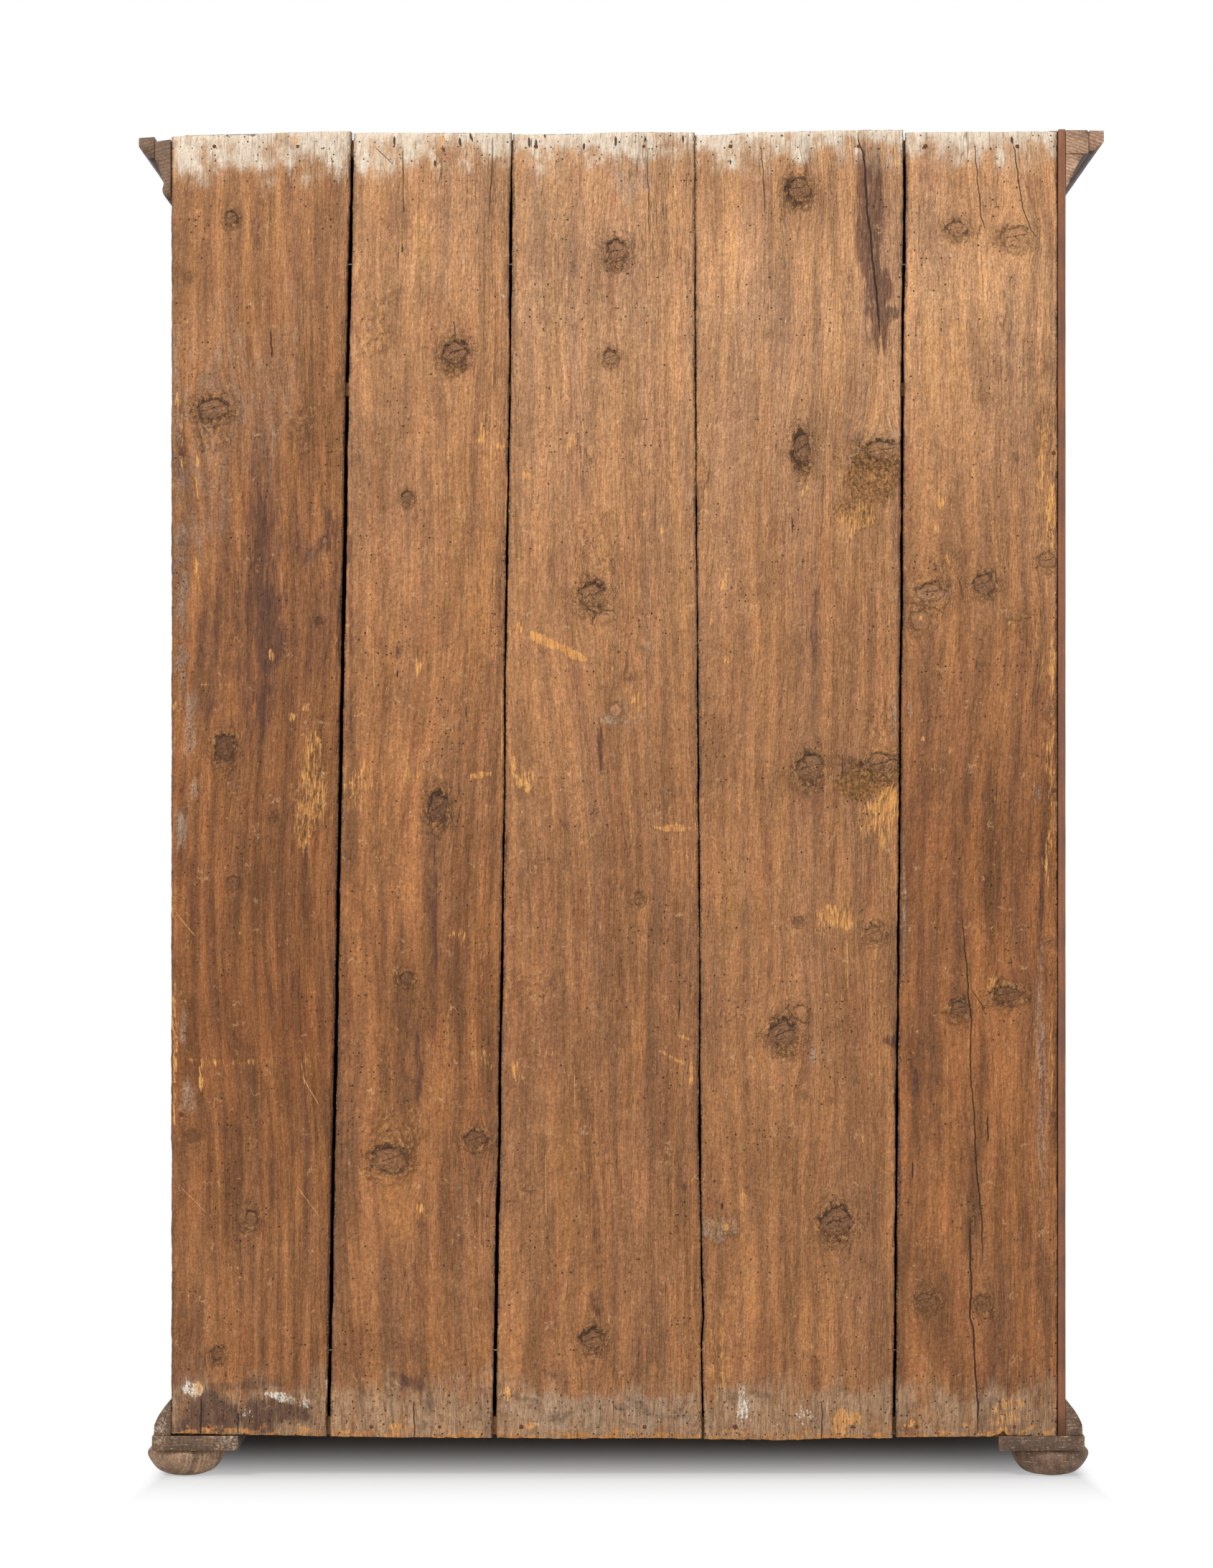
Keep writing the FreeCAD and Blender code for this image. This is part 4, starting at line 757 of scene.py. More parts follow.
    # Knots: hardly darker than the wood, with fine rings, cracks and a torn rim
    bend = g.noise(g.vector(u * 1.3, v * 1.3, kind), 3, 0.6)
    rag = over_face(0.17, 0.17, 49, 3, 0.6)
    plain_round = g.length(u, v)
    round_knot = plain_round * (0.24 + 1.0 * bend + 0.52 * rag)
    side = g.math("DIVIDE", 1.0, plain_round + 0.05)
    around = g.noise(g.vector(u * side * 0.9, v * side * 0.9, kind + 9), 1)
    here = g.smooth(near, 2.9, 2.3)
    disc = g.smooth(round_knot, 1.08, 0.84) * here
    rim = g.smooth(round_knot, 0.78, 1.0) * g.smooth(round_knot, 1.30, 1.04) * here
    tear = g.smooth(round_knot, 0.92, 1.04) * g.smooth(round_knot, 1.62, 1.12)
    tear = tear * g.smooth(around + (rag - 0.5) * 0.5, 0.50, 0.60)
    tear = tear * here * g.smooth(heart, 0.72, 0.5) * g.smooth(fringe, 0.15, 0.7, 0.06, 1.0)
    lip = g.smooth(round_knot, 1.25, 1.5) * g.smooth(round_knot, 2.1, 1.6) * here
    halo = g.smooth(round_knot, 2.6, 1.0) * here
    rings = g.math("SINE", round_knot * 19.0 + bend * 9.0) * (0.10 + 0.9 * fringe)
    rim = rim * (0.20 + 0.8 * fringe)
    lip = lip * (0.15 + 0.85 * fringe)
    heart_colour = g.mix(g.smooth(heart, 0.0, 1.0), paint(92, 62, 40), paint(206, 150, 104))
    heart_shade = (0.70 + 0.60 * grit) * (0.60 + 0.80 * rag) * (0.30 + 0.70 * tone_and_painted_light) + 0.08 * rings
    heart_colour = g.shade(heart_colour, heart_shade)
    g.dim(1.0 - halo * 0.06 + rings * halo * 0.15 - rim * 0.38 + lip * (rag - 0.42) * 0.9)
    g.coat(disc * (0.30 + 0.38 * fringe), heart_colour)
    g.coat(tear * 0.80, 76, 48, 30)
    # Painted shadow: a dark crescent on the upper side of a torn knot's rim, where the recess would be in shade under
    # light from the upper left
    painted_shadow_crescent = g.smooth(round_knot, 0.80, 0.96) * g.smooth(round_knot, 1.34, 1.10) * here
    painted_shadow_crescent = painted_shadow_crescent * g.smooth(0 - v - u * 0.4, 0.0, 0.8) * g.smooth(fringe, 0.1, 0.6)
    g.coat(painted_shadow_crescent * 0.72, 72, 46, 30)
    bent = v + u * 0.35 + (bend - 0.5) * 0.7 + (rag - 0.5) * 0.35
    split = g.smooth(g.size(bent + 0.10), 0.09, 0.02) * g.smooth(g.size(u), 1.0, 0.6)
    split = g.high(split, g.smooth(g.size(bent - 0.38), 0.06, 0.01) * g.smooth(g.size(u), 0.8, 0.3) * 0.6)
    star = g.smooth(g.size(u * 0.80 - v * 0.60 + (bend - 0.5) * 0.5), 0.06, 0.01) * g.smooth(round_knot, 0.9, 0.5)
    split = g.high(split, star * 0.7) * g.smooth(heart, 0.6, 0.45) * g.smooth(heart, 0.12, 0.22) * here
    g.coat(split * 0.85, 52, 33, 24)
    collar = g.smooth(round_knot, 0.90, 1.12) * g.smooth(round_knot, 2.1, 1.25) * here * g.smooth(fringe, 0.0, 0.5)
    # Collar of torn grain round a knot: paler on its raised ripples, partly fresh fibres and partly painted light,
    # and painted shade in its hollows
    g.coat(collar * g.smooth(ripple, 0.50, 0.60) * 0.65, 200, 146, 92)
    g.coat(collar * g.smooth(ripple, 0.46, 0.36) * 0.70, 78, 50, 32)
    below = g.smooth(v, 0.15, 0.85) * g.smooth(round_knot, 2.6, 1.1) * g.smooth(g.size(u), 1.7, 0.7) * here
    ragged = g.smooth(moss_noise, 0.42, 0.58) * below * fringe
    g.coat(ragged * 0.66, 88, 56, 32)
    bright = g.smooth(moss_noise, 0.44, 0.32) * below * fringe
    g.coat(bright * 0.55, 204, 146, 88)

    # Ends: whitish dust at the top, weathered grey at the bottom
    drip = over_face(0.045, 0.022, 53, 5, 0.65)
    smear = over_face(0.018, 0.020, 55, 2)
    veil = g.smooth(white + near_top * 0.2 + (smear - 0.5) * 1.8 + (drip - 0.5) * 1.8, 0.05, 1.25)
    g.coat(veil * g.smooth(white, 0.0, 0.3) * 0.62, 204, 178, 148)
    dust = white * 1.1 + near_top * 0.30 + (smear - 0.5) * 1.8 + (drip - 0.5) * 3.0 + (fine - 0.5) * 1.4
    dust = dust + (grit - 0.5) * 0.8 - 0.42
    dust = g.smooth(dust, 0.05, 1.0) * g.smooth(white, 0.0, 0.50) * (0.50 + 0.50 * thread)
    g.coat(dust * 0.95, g.mix(drip, paint(194, 174, 150), paint(246, 234, 216)))
    stained = weather * 0.75 + (drip - 0.5) * 1.5 + (smear - 0.5) * 0.8 + (fine - 0.5) * 0.7
    weather_mask = g.smooth(stained, 0.20, 0.85) * g.smooth(weather, 0.0, 0.3)
    g.coat(weather_mask * 0.55, g.mix(thread, paint(118, 94, 72), paint(192, 164, 132)))
    dirty = over_face(0.022, 0.030, 57, 4, 0.65)
    g.coat(g.smooth(dirty, 0.54, 0.70) * g.smooth(weather, 0.0, 0.4) * 0.6, 92, 70, 56)
    g.coat(dark_mask * weather * 0.85, g.mix(thread, paint(66, 44, 34), paint(108, 74, 54)))
    # Whitish smears on the low ends; the one low on the first board's left is partly a painted highlight on a shiny
    # worn band
    smudge = lime * 0.7 + (grit - 0.5) * 2.4 + (drip - 0.5) * 1.2 + (scuff - 0.5) * 2.4
    smudge = g.smooth(smudge, 0.42, 0.70) * g.smooth(lime, 0.0, 0.3)
    g.coat(smudge * 0.88, 236, 226, 212)
    torn = g.smooth(fibre * 0.5 + scuff * 0.5, 0.42, 0.60)
    fresh_mask = g.smooth(fresh * (0.10 + 1.0 * grain_fray + 0.9 * torn), 0.34, 0.86)
    g.coat(fresh_mask * 0.80, g.mix(torn, paint(196, 132, 70), paint(232, 170, 96)))
    chip = over_face(0.055, 0.11, 67, 3, 0.6)
    chip = g.smooth(near_low * 0.55 + (chip - 0.5) * 2.4 + (grit - 0.5) * 0.6, 0.42, 0.56)
    chip = chip * g.smooth(near_low, 0.0, 0.2)
    g.coat(chip * 0.75, g.mix(torn, paint(168, 108, 58), paint(216, 156, 88)))
    # Darker band along each board's edges at the seams: partly wear, partly painted shade on the worn arrises beside
    # the gaps
    seam_shade_and_wear = g.smooth(edge * (0.5 + 0.8 * fray), 0.45, 1.05)
    g.coat(seam_shade_and_wear * 0.55, 92, 62, 44)
    soot = g.smooth(edge * 0.8 + (grit - 0.5) * 1.3 + (drip - 0.5) * 1.2, 0.66, 0.84)
    g.coat(soot * 0.75, 52, 36, 28)
    crumb = g.smooth(edge * 0.9 + (pit - 0.5) * 1.8 + (drip - 0.5) * 1.0, 1.02, 1.16)
    g.coat(crumb * 0.6, 196, 146, 98)

    # Holes of wood worms, pale specks, cracks, slots and splinters
    crowd = g.smooth(over_face(0.012, 0.010, 59, 2), 0.53, 0.66)
    crowd = g.high(crowd * g.smooth(tone_and_painted_light, 1.3, 0.9, 0.45, 0.9), g.high(weather * 0.8, white * 0.5))
    hole = None
    for spacing, shift in ((9, 0), (16, 60)):
        apart, chance = g.cells(g.vector(px * (1 / spacing) + seed + shift, pz * (1 / spacing)), flat=True)
        open_hole = g.smooth(chance[1] + crowd * 0.28, 0.975, 0.985)
        one = g.smooth(apart - (0.60 + 0.60 * chance[0]) * (1 / spacing), 0.35 / spacing, -0.25 / spacing) * open_hole
        hole = one if hole is None else g.high(hole, one)
    g.coat(hole * 0.95, 38, 24, 17)
    hair = g.smooth(g.size(over_face(0.075, 0.055, 61, 2) - 0.5), 0.034, 0.010)
    hair = hair * g.smooth(over_face(0.040, 0.045, 62, 3), 0.59, 0.69) * g.smooth(grit, 0.35, 0.5)
    g.coat(hair * 0.38, 222, 178, 130)
    check = g.smooth(g.size(with_grain(0.075, 0.0045, 63, 3) - 0.5), 0.016, 0.004)
    check = check * g.smooth(with_grain(0.030, 0.0060, 64, 2), 0.57, 0.68)
    g.coat(check * 0.55, 84, 54, 38)
    apart, chance = g.cells(g.vector(px * (1 / 9) + seed, pz * (1 / 15)), flat=True)
    speck = g.smooth(apart - chance[1] * 0.06, 0.10, 0.02) * g.smooth(chance[0], 0.90, 0.95)
    speck = speck * g.smooth(patina, 0.46, 0.60) * hairs
    g.coat(speck * 0.45, 232, 206, 178)
    apart, chance = g.cells(g.vector(px * (1 / 7) - seed, pz * (1 / 7)), flat=True)
    fleck = g.smooth(apart - chance[1] * 0.16, 0.12, 0.0)
    fleck = fleck * g.smooth(chance[0] + weather * 0.06 + lime * 0.5, 1.03, 1.08)
    g.coat(fleck * g.smooth(fibre, 0.35, 0.5) * 0.8, 232, 216, 194)
    jitter = (g.noise(g.vector(along * 0.12, seed), 3) - 0.5) * 1.6
    crack = g.smooth(g.size(crack_offset + jitter) - crack_width * 0.5, 0.45, -0.35) * g.smooth(crack_width, 0.1, 0.6)
    g.coat(crack * 0.92, 38, 24, 18)
    splinter = g.smooth(g.size(splinter_offset + jitter) - splinter_width * 0.5, 0.5, -0.3)
    splinter = splinter * g.smooth(splinter_width, 0.1, 0.6) * g.smooth(fibre, 0.30, 0.5)
    g.coat(splinter * 0.70, 214, 160, 104)

    ridge = with_grain(0.36, 0.040, 69, 1, 0.6)
    pebble = over_face(0.22, 0.15, 71, 2, 0.6)
    height = ridge * 4.6 + pebble * 3.0 + blotch * 3.0 + ripple * (curl * 5.0 + collar * 5.0)
    height = height + rings * halo * 0.9 - rim * 0.9 - painted_shadow_crescent * 2.0 + lip * rag * 3.0 - hole * 1.2 - crack * 1.6
    roughness = g.smooth(fine, 0.2, 0.8, 0.66, 0.82)
    return g.finish(roughness, height, {"Specular IOR Level": 0.30})


def solid_wood(name, axis, colours, coat=0.0, roughness=(0.55, 0.75), wear=0.5, bare_ends=True, ring_width=4.5,
               dirt=0.4, lime=0.0, rear=None):
    """Wood with the grain along one axis: stain, bare wood, dark grain, dirt, as colours in that order."""
    stain, bare, deep, dirty = colours
    g = Graph(bpy.data.materials.new(name))
    place = g.place(MM)
    facing = g.facing()
    seed, _, _ = g.attribute("piece")
    from_low = g.attribute("from_low")
    from_high = g.attribute("from_high")
    order = {"x": (0, 1, 2), "y": (1, 0, 2), "z": (2, 0, 1)}[axis]
    along, across, depth = (place[i] for i in order)
    shift = g.math("SINE", seed * 12.9) * 60
    bow = g.noise(g.vector(along * 0.0030, across * 0.008, seed), 2) * 26
    ring = g.length(across + shift + bow, depth + g.math("SINE", seed * 7.7) * 40 + 62)
    broad = g.noise(g.vector(ring * 0.11, along * 0.0022, seed + 3), 4, 0.6)
    fine = g.noise(g.vector(ring * 0.55, along * 0.012, seed + 5), 4, 0.65)
    fibre = g.noise(g.vector(across * 1.5, along * 0.05, depth * 1.5), 3, 0.7)
    blotch = g.noise(g.scaled(place, 0.012), 4, 0.6)
    grit = g.noise(g.scaled(place, 0.35), 3, 0.7)
    saw = g.math("FRACT", ring * (1 / ring_width) + broad * 1.4)
    late = g.smooth(saw, 0.25, 0.85) * g.smooth(saw, 1.0, 0.90)
    line = g.noise(g.vector(across * 0.26, along * 0.007, depth * 0.26), 4, 0.7)
    line = g.smooth(line, 0.34, 0.66)

    # Distance from the piece's arrises: the middle one of the three distances from its sides
    a, b, c = (g.low(low, high) for low, high in zip(from_low, from_high))
    arris = g.high(g.low(a, b), g.low(g.high(a, b), c))
    rub = g.smooth(arris + (grit - 0.5) * 4.0 + (blotch - 0.5) * 6.0, 2.6, 0.2)
    end = g.smooth(g.size(facing[order[0]]), 0.55, 0.85)

    coloured = g.mix(g.smooth(broad, 0.3, 0.7), stain, deep)
    coloured = g.mix(late * 0.35, coloured, deep)
    coloured = g.shade(coloured, (0.78 + 0.44 * fine) * (0.70 + 0.60 * line))
    raw = g.mix(late * 0.45, bare, deep)
    raw = g.shade(raw, (0.78 + 0.44 * fine) * (0.76 + 0.48 * line))
    show = g.smooth(blotch * 0.6 + grit * 0.4, 0.60, 0.64 + 0.03 / (0.2 + wear)) * wear
    show = g.high(show, rub * wear * 1.4)
    if bare_ends:
        show = g.high(show, end * 0.9)
    g.colour = g.mix(g.low(show, 1.0), coloured, raw)
    if rear:
        face = g.shade(g.mix(late * 0.25, rear, deep), (0.5 + 1.0 * fine) * (0.4 + 1.2 * grit))
        g.coat(g.smooth(facing[1], 0.5, 0.8) * 0.85, face)
        g.coat(rub * wear * g.smooth(blotch, 0.40, 0.55), bare)
    g.coat(g.smooth(blotch, 0.62, 0.35) * dirt, dirty)
    if lime:
        g.coat(g.smooth(grit * 0.45 + blotch * 0.55, 0.56, 0.62) * lime, 206, 194, 176)
        scrape = g.noise(g.vector(place[0] * 0.06 + place[2] * 0.10, place[1] * 0.06, place[2] * 0.5), 4, 0.7)
        g.coat(g.smooth(scrape, 0.56, 0.68) * g.smooth(grit, 0.36, 0.56) * lime * 1.6, 214, 188, 156)
        stain_patch = g.noise(g.scaled(place, 0.05, 0.05, 0.07), 3, 0.6)
        g.coat(g.smooth(stain_patch, 0.50, 0.62) * lime * 1.1, deep)
        g.dim(g.smooth(stain_patch * 0.5 + grit * 0.5, 0.38, 0.62, 1 - 0.8 * lime, 1 + 0.9 * lime))
    g.dim((0.90 + 0.20 * fibre) * (0.92 + 0.16 * grit))
    apart, chance = g.cells(g.scaled(place, 0.05))
    hole = g.smooth(apart, 0.055, 0.035) * g.smooth(chance[1], 0.80, 0.86) * (1.0 if wear > 0.3 else 0.0)
    g.coat(hole * 0.9, 40, 25, 18)
    height = late * 0.06 + line * 0.25 + fine * 0.12 + fibre * 0.10 - hole * 1.0 - rub * 0.15 + grit * 0.10 * wear
    rough = g.smooth(fine * 0.5 + grit * 0.5, 0.3, 0.7, *roughness)
    return g.finish(rough, height, {"Specular IOR Level": 0.4, "Coat Weight": coat, "Coat Roughness": 0.3})


def old_metal(name, dark, light, rust, rust_share, metallic, roughness):
    g = Graph(bpy.data.materials.new(name))
    place = g.place(MM)
    cloud = g.noise(g.scaled(place, 0.10), 5, 0.65)
    pit = g.noise(g.scaled(place, 0.9), 4, 0.7)
    scratch = g.noise(g.scaled(place, 0.3, 0.3, 3.0), 3, 0.6)
    g.colour = g.mix(g.smooth(scratch, 0.4, 0.7), paint(*dark), paint(*light))
    rusty = g.smooth(cloud * 0.6 + pit * 0.4, 0.62 - 0.3 * rust_share, 0.80 - 0.3 * rust_share)
    g.coat(rusty * 0.85, *rust)
    g.dim(0.75 + 0.5 * pit)
    rough = g.smooth(rusty * 0.7 + pit * 0.3, 0.1, 0.9, *roughness)
    height = pit * 0.12 + rusty * 0.10 + scratch * 0.04
    return g.finish(rough, height, {"Metallic": metallic, "Specular IOR Level": 0.5})


# ---------------------------------------------------------------- worn copies of the solid parts

# An arris is an edge longer than this, in metres, between faces at more than this angle; it is rounded by BEVEL mm
LONG_EDGE = 0.012
SHARP_ANGLE = 28
BEVEL = 1.2
# Distance from an arris, in millimetres, that a turned piece is given everywhere
NO_ARRIS = 40
# Size of the broad and the small unevenness, in metres
BROAD, SMALL = 0.045, 0.014


def coords_of(mesh):
    coords = np.empty(len(mesh.vertices) * 3, np.float32)
    mesh.vertices.foreach_get("co", coords)
    return coords.reshape(-1, 3)


def finish_piece(mesh, body, material, node, smooth_angle=35):
    piece = bpy.data.objects.new(mesh.name, mesh)
    bpy.context.scene.collection.objects.link(piece)
    mesh.materials.clear()
    mesh.materials.append(material)
    mesh.polygons.foreach_set("material_index", [0] * len(mesh.polygons))
    mesh.polygons.foreach_set("use_smooth", [True] * len(mesh.polygons))
    mesh.set_sharp_from_angle(angle=math.radians(smooth_angle))
    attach(piece, body)
    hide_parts(node)
    return piece


def worn_copy(node, body, slot, material, wobble=0.25, step=0.03, turned=False):
    """Piece made from a copy of a CAD solid, with rounded arrises and slightly uneven faces."""
    seed = 1 + sorted(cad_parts).index(node)
    shape = bmesh.new()
    shape.from_mesh(bpy.data.objects[node].data)
    bmesh.ops.remove_doubles(shape, verts=shape.verts, dist=1e-6)
    if not turned:
        bmesh.ops.dissolve_limit(shape, angle_limit=math.radians(0.5), verts=shape.verts, edges=shape.edges)
        sharp = [e for e in shape.edges if len(e.link_faces) == 2 and e.calc_length() > LONG_EDGE
                 and e.calc_face_angle(0) > math.radians(SHARP_ANGLE)]
        bmesh.ops.bevel(shape, geom=sharp, offset=BEVEL * MM, offset_type="OFFSET", segments=2, profile=0.5,
                        affect="EDGES", clamp_overlap=False)

    # Cuts across the piece, so that its faces have points to move
    points = np.array([v.co for v in shape.verts])
    low, high = points.min(0), points.max(0)
    for axis in range(3):
        count = int((high[axis] - low[axis]) / step)
        normal = Vector([float(axis == i) for i in range(3)])
        for i in range(1, count + 1):
            level = low[axis] + (high[axis] - low[axis]) * i / (count + 1)
            geometry = shape.verts[:] + shape.edges[:] + shape.faces[:]
            bmesh.ops.bisect_plane(shape, geom=geometry, dist=1e-6, plane_co=normal * level, plane_no=normal)
    bmesh.ops.triangulate(shape, faces=[f for f in shape.faces if len(f.verts) > 4])
    mesh = bpy.data.meshes.new(node + "_worn")
    shape.to_mesh(mesh)
    shape.free()

    # Distances from the sides of the piece's own box, for the wear along its arrises
    coords = coords_of(mesh)
    low, high = coords.min(0), coords.max(0)
    for name, distance in (("from_low", coords - low), ("from_high", high - coords)):
        set_vectors(mesh, name, *(np.full_like(coords, NO_ARRIS) if turned else distance / MM).T)
    set_vectors(mesh, "piece", *np.full((3, len(coords)), seed))

    # Unevenness goes towards the inside only, so that the piece stays within its own box
    coords = coords.astype(float)
    uneven = np.empty_like(coords)
    for axis in range(3):
        a, b = coords[:, (axis + 1) % 3], coords[:, (axis + 2) % 3]
        uneven[:, axis] = wave(a / BROAD, b / BROAD, seed + axis) + 0.5 * wave(a / SMALL, b / SMALL, seed + axis + 3)
    middle = (coords.min(0) + coords.max(0)) / 2
    half = (coords.max(0) - coords.min(0)) / 2
    inward = -np.sign(coords - middle) * np.abs((coords - middle) / np.maximum(half, 1e-6)) ** 2
    coords += inward * np.abs(uneven) * wobble * MM
    mesh.vertices.foreach_set("co", coords.astype(np.float32).ravel())
    return finish_piece(mesh, body, material, node)


# ---------------------------------------------------------------- pieces

iron = old_metal("iron_old", (66, 58, 54), (92, 82, 76), (104, 62, 38), 0.55, 0.75, (0.45, 0.85))
rust = old_metal("iron_rusty", (70, 50, 40), (88, 64, 50), (112, 62, 34), 0.9, 0.35, (0.6, 0.9))
brass = old_metal("brass_dull", (146, 112, 56), (182, 148, 84), (84, 66, 38), 0.3, 1.0, (0.3, 0.6))

back_wood = aged_back()
for number in range(5):
    finish_piece(back_board(number), "carcass", back_wood, "back_board_" + str(number + 1), 60)

# Kinds of wood: slot, material's name, its colours (stain, bare wood, dark grain, dirt) and settings
KINDS = {
    "cornice": ("cornice_softwood", "cornice_softwood_{}",
                ((100, 66, 49), (188, 148, 116), (62, 42, 34), (62, 46, 40)),
                {"wear": 0.5, "dirt": 0.5, "lime": 0.15}),
    "cornice_dark": ("cornice_softwood", "cornice_softwood_dark_{}",
                     ((98, 63, 44), (143, 112, 84), (62, 42, 34), (62, 46, 40)),
                     {"wear": 0.5, "dirt": 0.5, "lime": 0.15}),
    "base": ("base_softwood", "base_softwood_{}",
             ((94, 64, 48), (138, 110, 80), (62, 44, 34), (62, 47, 38)),
             {"wear": 0.6, "dirt": 0.6, "lime": 0.4, "rear": paint(116, 88, 66)}),
    "front": ("stained_softwood", "front_softwood_{}",
              ((126, 68, 38), (178, 124, 78), (84, 42, 24), (58, 36, 26)),
              {"coat": 0.25, "roughness": (0.34, 0.5), "wear": 0.25, "dirt": 0.3}),
    "inside": ("inside_softwood", "inside_softwood_{}",
               ((190, 144, 98), (204, 160, 114), (140, 92, 56), (128, 96, 70)),
               {"wear": 0.2, "dirt": 0.35, "bare_ends": False}),
    "wall": ("stained_softwood", "wall_softwood_{}",
             ((128, 80, 54), (168, 122, 86), (84, 50, 34), (60, 40, 30)),
             {"coat": 0.1, "roughness": (0.45, 0.65), "wear": 0.45, "dirt": 0.45, "bare_ends": False,
              "rear": paint(134, 80, 46)}),
    "foot": ("base_softwood", "foot_softwood",
             ((168, 134, 106), (236, 198, 146), (112, 84, 66), (84, 64, 52)),
             {"wear": 0.9, "dirt": 0.5, "lime": 0.4, "bare_ends": False, "ring_width": 2.5}),
    # Paler copy of the foot wood for the rear foot on the lit side: painted light
    "foot_pale": ("base_softwood", "foot_softwood_pale",
                  ((222, 182, 142), (252, 222, 168), (132, 100, 78), (84, 64, 52)),
                  {"wear": 1.0, "dirt": 0.5, "lime": 0.4, "bare_ends": False, "ring_width": 2.5}),
}
DOORS = ("left_door_", "right_door_")
# The pieces cut from each kind of wood with the grain along each axis
WOOD = {
    ("wall", "z"): ["side_wall_left", "side_wall_right"],
    ("inside", "x"): ["top_board", "bottom_board", "hat_shelf", "hanging_rail"],
    ("cornice", "x"): ["cornice_cove_front", "cornice_lath_front"],
    ("cornice", "y"): ["cornice_batten_left", "cornice_cove_left", "cornice_lath_left"],
    ("cornice_dark", "y"): ["cornice_cove_right", "cornice_lath_right"],
    ("base", "x"): ["base_moulding_front", "base_front_plate"],
    ("base", "y"): ["base_moulding_left", "base_moulding_right", "base_runner_left", "base_runner_right"],
    ("front", "z"): ["front_stile_left", "front_stile_right"] + [
        door + part for door in DOORS for part in ("hinge_stile", "meeting_stile", "lower_panel", "upper_panel")],
    ("front", "x"): ["front_top_rail", "front_bottom_rail"] + [
        door + part for door in DOORS for part in ("bottom_rail", "middle_rail", "top_rail")],
    ("foot", "z"): ["foot_rear_left", "foot_front_left", "foot_front_right"],
    # The rear foot on the lit side takes the paler copy, painted light
    ("foot_pale", "z"): ["foot_rear_right"],
}
# Turned pieces: how uneven they are in millimetres, and the distance between the cuts across them in metres
TURNED = {"foot": (1.4, 0.005), "foot_pale": (1.4, 0.005), "hanging_rail": (0.3, 0.03)}
# How far the worn rear feet lean outwards in their lower half
LEAN = 6 * MM

for (kind, axis), nodes in WOOD.items():
    slot, name, colours, settings = KINDS[kind]
    wood = solid_wood(name.format(axis), axis, [paint(*colour) for colour in colours], **settings)
    for node in nodes:
        body = node[:node.index("_door") + 5] if "_door_" in node else "carcass"
        turned = TURNED.get(kind) or TURNED.get(node) or ()
        piece = worn_copy(node, body, slot, wood, *turned, turned=bool(turned))
        if node.startswith("foot_rear"):
            low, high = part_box(node)
            for point in piece.data.vertices:
                share = 1 - point.co.z / high.z
                point.co.x += (LEAN if low.x > 0 else -LEAN) * math.sin(math.pi * min(share, 0.5))

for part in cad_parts.values():
    slots = part.data.materials
    for name, metal in (("old_iron", iron), ("plate_brass", brass)):
        if slots and slots[0] and slots[0].name.startswith(name):
            slots[0] = metal


# ---------------------------------------------------------------- nails with uneven square heads

SIDES = 12
# Half width of a head, in millimetres
HEAD = 3.4
# Cross-sections of a head: share of its reach, and millimetres below the plane of the back
HEAD_LEVELS = ((0.35, 3.0), (1.0, 2.2), (1.0, 1.2))


def nail_heads():
    """One mesh with all the nails, each as deep as its CAD solid."""
    source = bmesh.new()
    source.from_mesh(bpy.data.objects["back_nails"].data)
    bmesh.ops.remove_doubles(source, verts=source.verts, dist=1e-6)
    left = dict.fromkeys(source.verts)
    shape = bmesh.new()
    while left:
        nail, queue = [], [left.popitem()[0]]
        while queue:
            vertex = queue.pop()
            nail.append(vertex.co.copy())
            for edge in vertex.link_edges:
                other = edge.other_vert(vertex)
                if other in left:
                    del left[other]
                    queue.append(other)
        middle_x, middle_z = ((min(c[i] for c in nail) + max(c[i] for c in nail)) / 2 for i in (0, 2))
        seed = middle_x * 91.7 + middle_z * 37.1
        chance = [float(wave(seed + i * 3.7, i, 5)) for i in range(2 + SIDES)]
        turn, reach = chance[0] * 0.6, (HEAD + 0.5 * chance[1]) * MM
        levels = [(0.35, min(c.y for c in nail))] + [(share, REAR - low * MM) for share, low in HEAD_LEVELS]
        rings = []
        for share, y in levels + [(0.62, REAR - (0.5 + 0.2 * chance[2]) * MM)]:
            ring = []
            for i in range(SIDES):
                angle = turn + math.tau * i / SIDES
                square = 1 / max(abs(math.cos(angle - turn)), abs(math.sin(angle - turn))) ** 0.8
                radius = reach * share * square * (1 + 0.10 * chance[2 + i])
                place = (middle_x + radius * math.cos(angle), y, middle_z + radius * math.sin(angle))
                ring.append(shape.verts.new(place))
            rings.append(ring)
        top = shape.verts.new((middle_x, REAR - 0.35 * MM, middle_z))
        for lower, upper in zip(rings, rings[1:]):
            for i in range(SIDES):
                shape.faces.new((lower[i], upper[i], upper[(i + 1) % SIDES], lower[(i + 1) % SIDES]))
        for i in range(SIDES):
            shape.faces.new((rings[-1][i], top, rings[-1][(i + 1) % SIDES]))
        shape.faces.new(rings[0])
    bmesh.ops.recalc_face_normals(shape, faces=shape.faces)
    mesh = bpy.data.meshes.new("nail_heads")
    shape.to_mesh(mesh)
    shape.free()
    source.free()
    return mesh


finish_piece(nail_heads(), "carcass", rust, "back_nails")


# ---------------------------------------------------------------- floor, background, lights and camera

FLOOR_REACH = 40
FLOOR_GREY = 0.62
SKY_LIGHT = 0.24
# Millimetres behind the wardrobe between which the floor turns white for the camera, a painted fade at the shadow's
# edge
GREY_UNTIL, WHITE_FROM = -420.0, 240.0


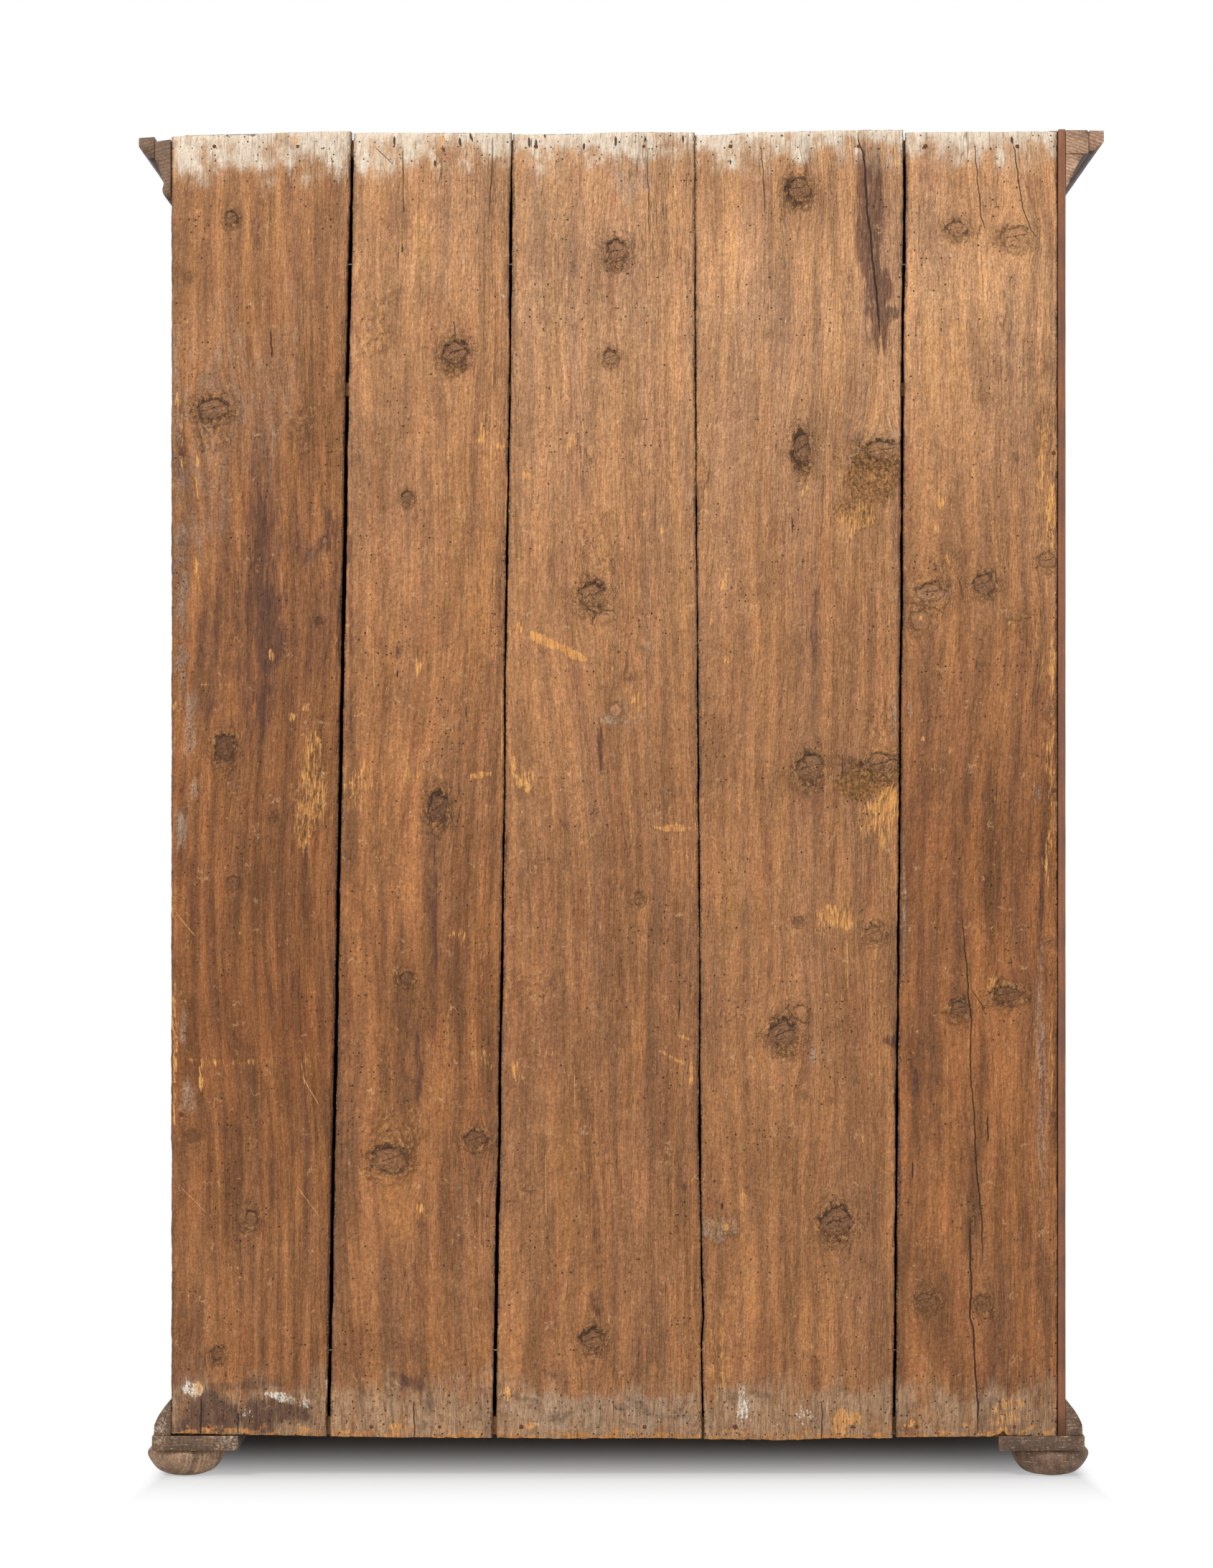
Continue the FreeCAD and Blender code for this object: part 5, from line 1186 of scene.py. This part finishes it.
def floor_material():
    """White at a distance for the camera; plain pale diffuse near the wardrobe, where its shadow lies; in between, a
    white glow blended in by place paints the fading edge of that shadow, and beside and in front of the wardrobe the
    glow is painted light over its shadow.
    """
    g = Graph(bpy.data.materials.new("floor_white"))
    x, y, _ = g.place(MM)
    outline_low, outline_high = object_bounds()
    centre = (outline_low + outline_high) / 2 / MM
    half = (outline_high - outline_low) / 2 / MM
    beside = g.smooth(g.size(x - centre.x), half.x - 60, half.x - 5)
    before = g.smooth(centre.y - y, half.y - 60, half.y + 60)
    behind = y - (centre.y + half.y)
    # Share of white glow the camera sees: painted light that fades out the shadow behind the wardrobe and covers it
    # beside and in front
    painted_light_share = g.math("POWER", g.smooth(behind, GREY_UNTIL, WHITE_FROM), 1.6)
    painted_light_share = g.high(g.high(painted_light_share, before), beside)
    return g.two_ways(painted_light_share * g.ray_is("Camera", "Glossy", "Transmission"), "ShaderNodeOutputMaterial",
                      ("ShaderNodeBsdfDiffuse", FLOOR_GREY, None), ("ShaderNodeEmission", 1, 1))


floor_mesh = bpy.data.meshes.new("floor")
corners = [(x * FLOOR_REACH, y * FLOOR_REACH, 0) for x, y in ((-1, -1), (1, -1), (1, 1), (-1, 1))]
floor_mesh.from_pydata(corners, [], [(0, 1, 2, 3)])
floor_mesh.materials.append(floor_material())
floor = bpy.data.objects.new("floor", floor_mesh)
bpy.context.scene.collection.objects.link(floor)

studio = Graph(bpy.data.worlds.new("studio"))
bpy.context.scene.world = studio.two_ways(
    studio.ray_is("Camera", "Glossy"), "ShaderNodeOutputWorld",
    ("ShaderNodeBackground", 1, SKY_LIGHT), ("ShaderNodeBackground", 1, 1))

# Softboxes: name, place, where it points, width, height, power
for name, place, target, wide, high, power in (
    ("key", (2.6, 4.6, 5.0), (0, 0.2, 0.9), 2.2, 1.6, 262),
    ("back_fill", (-2.8, 3.8, 1.6), (0, 0.2, 0.9), 2.0, 2.0, 45),
    ("front_fill", (0.4, -4.4, 2.8), (0, -0.2, 0.9), 3.0, 2.0, 130),
    ("low_fill", (0.6, 4.2, 0.45), (0.1, 0.2, 0.35), 2.4, 0.6, 34),
    ("top", (0, 0.3, 4.4), (0, 0, 1.0), 3.0, 2.0, 55),
):
    light = bpy.data.lights.new(name, "AREA")
    light.shape = "RECTANGLE"
    light.size, light.size_y, light.energy = wide, high, power
    lamp = bpy.data.objects.new(name, light)
    lamp.location = place
    lamp.rotation_euler = (Vector(target) - Vector(place)).to_track_quat("-Z", "Y").to_euler()
    bpy.context.scene.collection.objects.link(lamp)

# The camera stands square to the back, opposite this pixel; its frame is shifted by whole-picture pixels
CAMERA_AWAY = 5.6
CAMERA_PIXEL = (860.3, 1157)
FRAME_SHIFT = (-15.3, 65)
SENSOR = 36
lens = bpy.data.cameras.new("camera")
lens.sensor_width = SENSOR
lens.lens = CAMERA_AWAY / PIXEL * SENSOR / PICTURE_HEIGHT
lens.shift_x, lens.shift_y = (shift / PICTURE_HEIGHT for shift in FRAME_SHIFT)
lens.clip_end = 100
camera = bpy.data.objects.new("camera", lens)
camera.location = (x_of(CAMERA_PIXEL[0]), REAR + CAMERA_AWAY, z_of(CAMERA_PIXEL[1]))
camera.rotation_euler = (math.radians(90), 0, math.radians(180))
bpy.context.scene.collection.objects.link(camera)
bpy.context.scene.camera = camera
bpy.context.scene.view_settings.view_transform = "Standard"
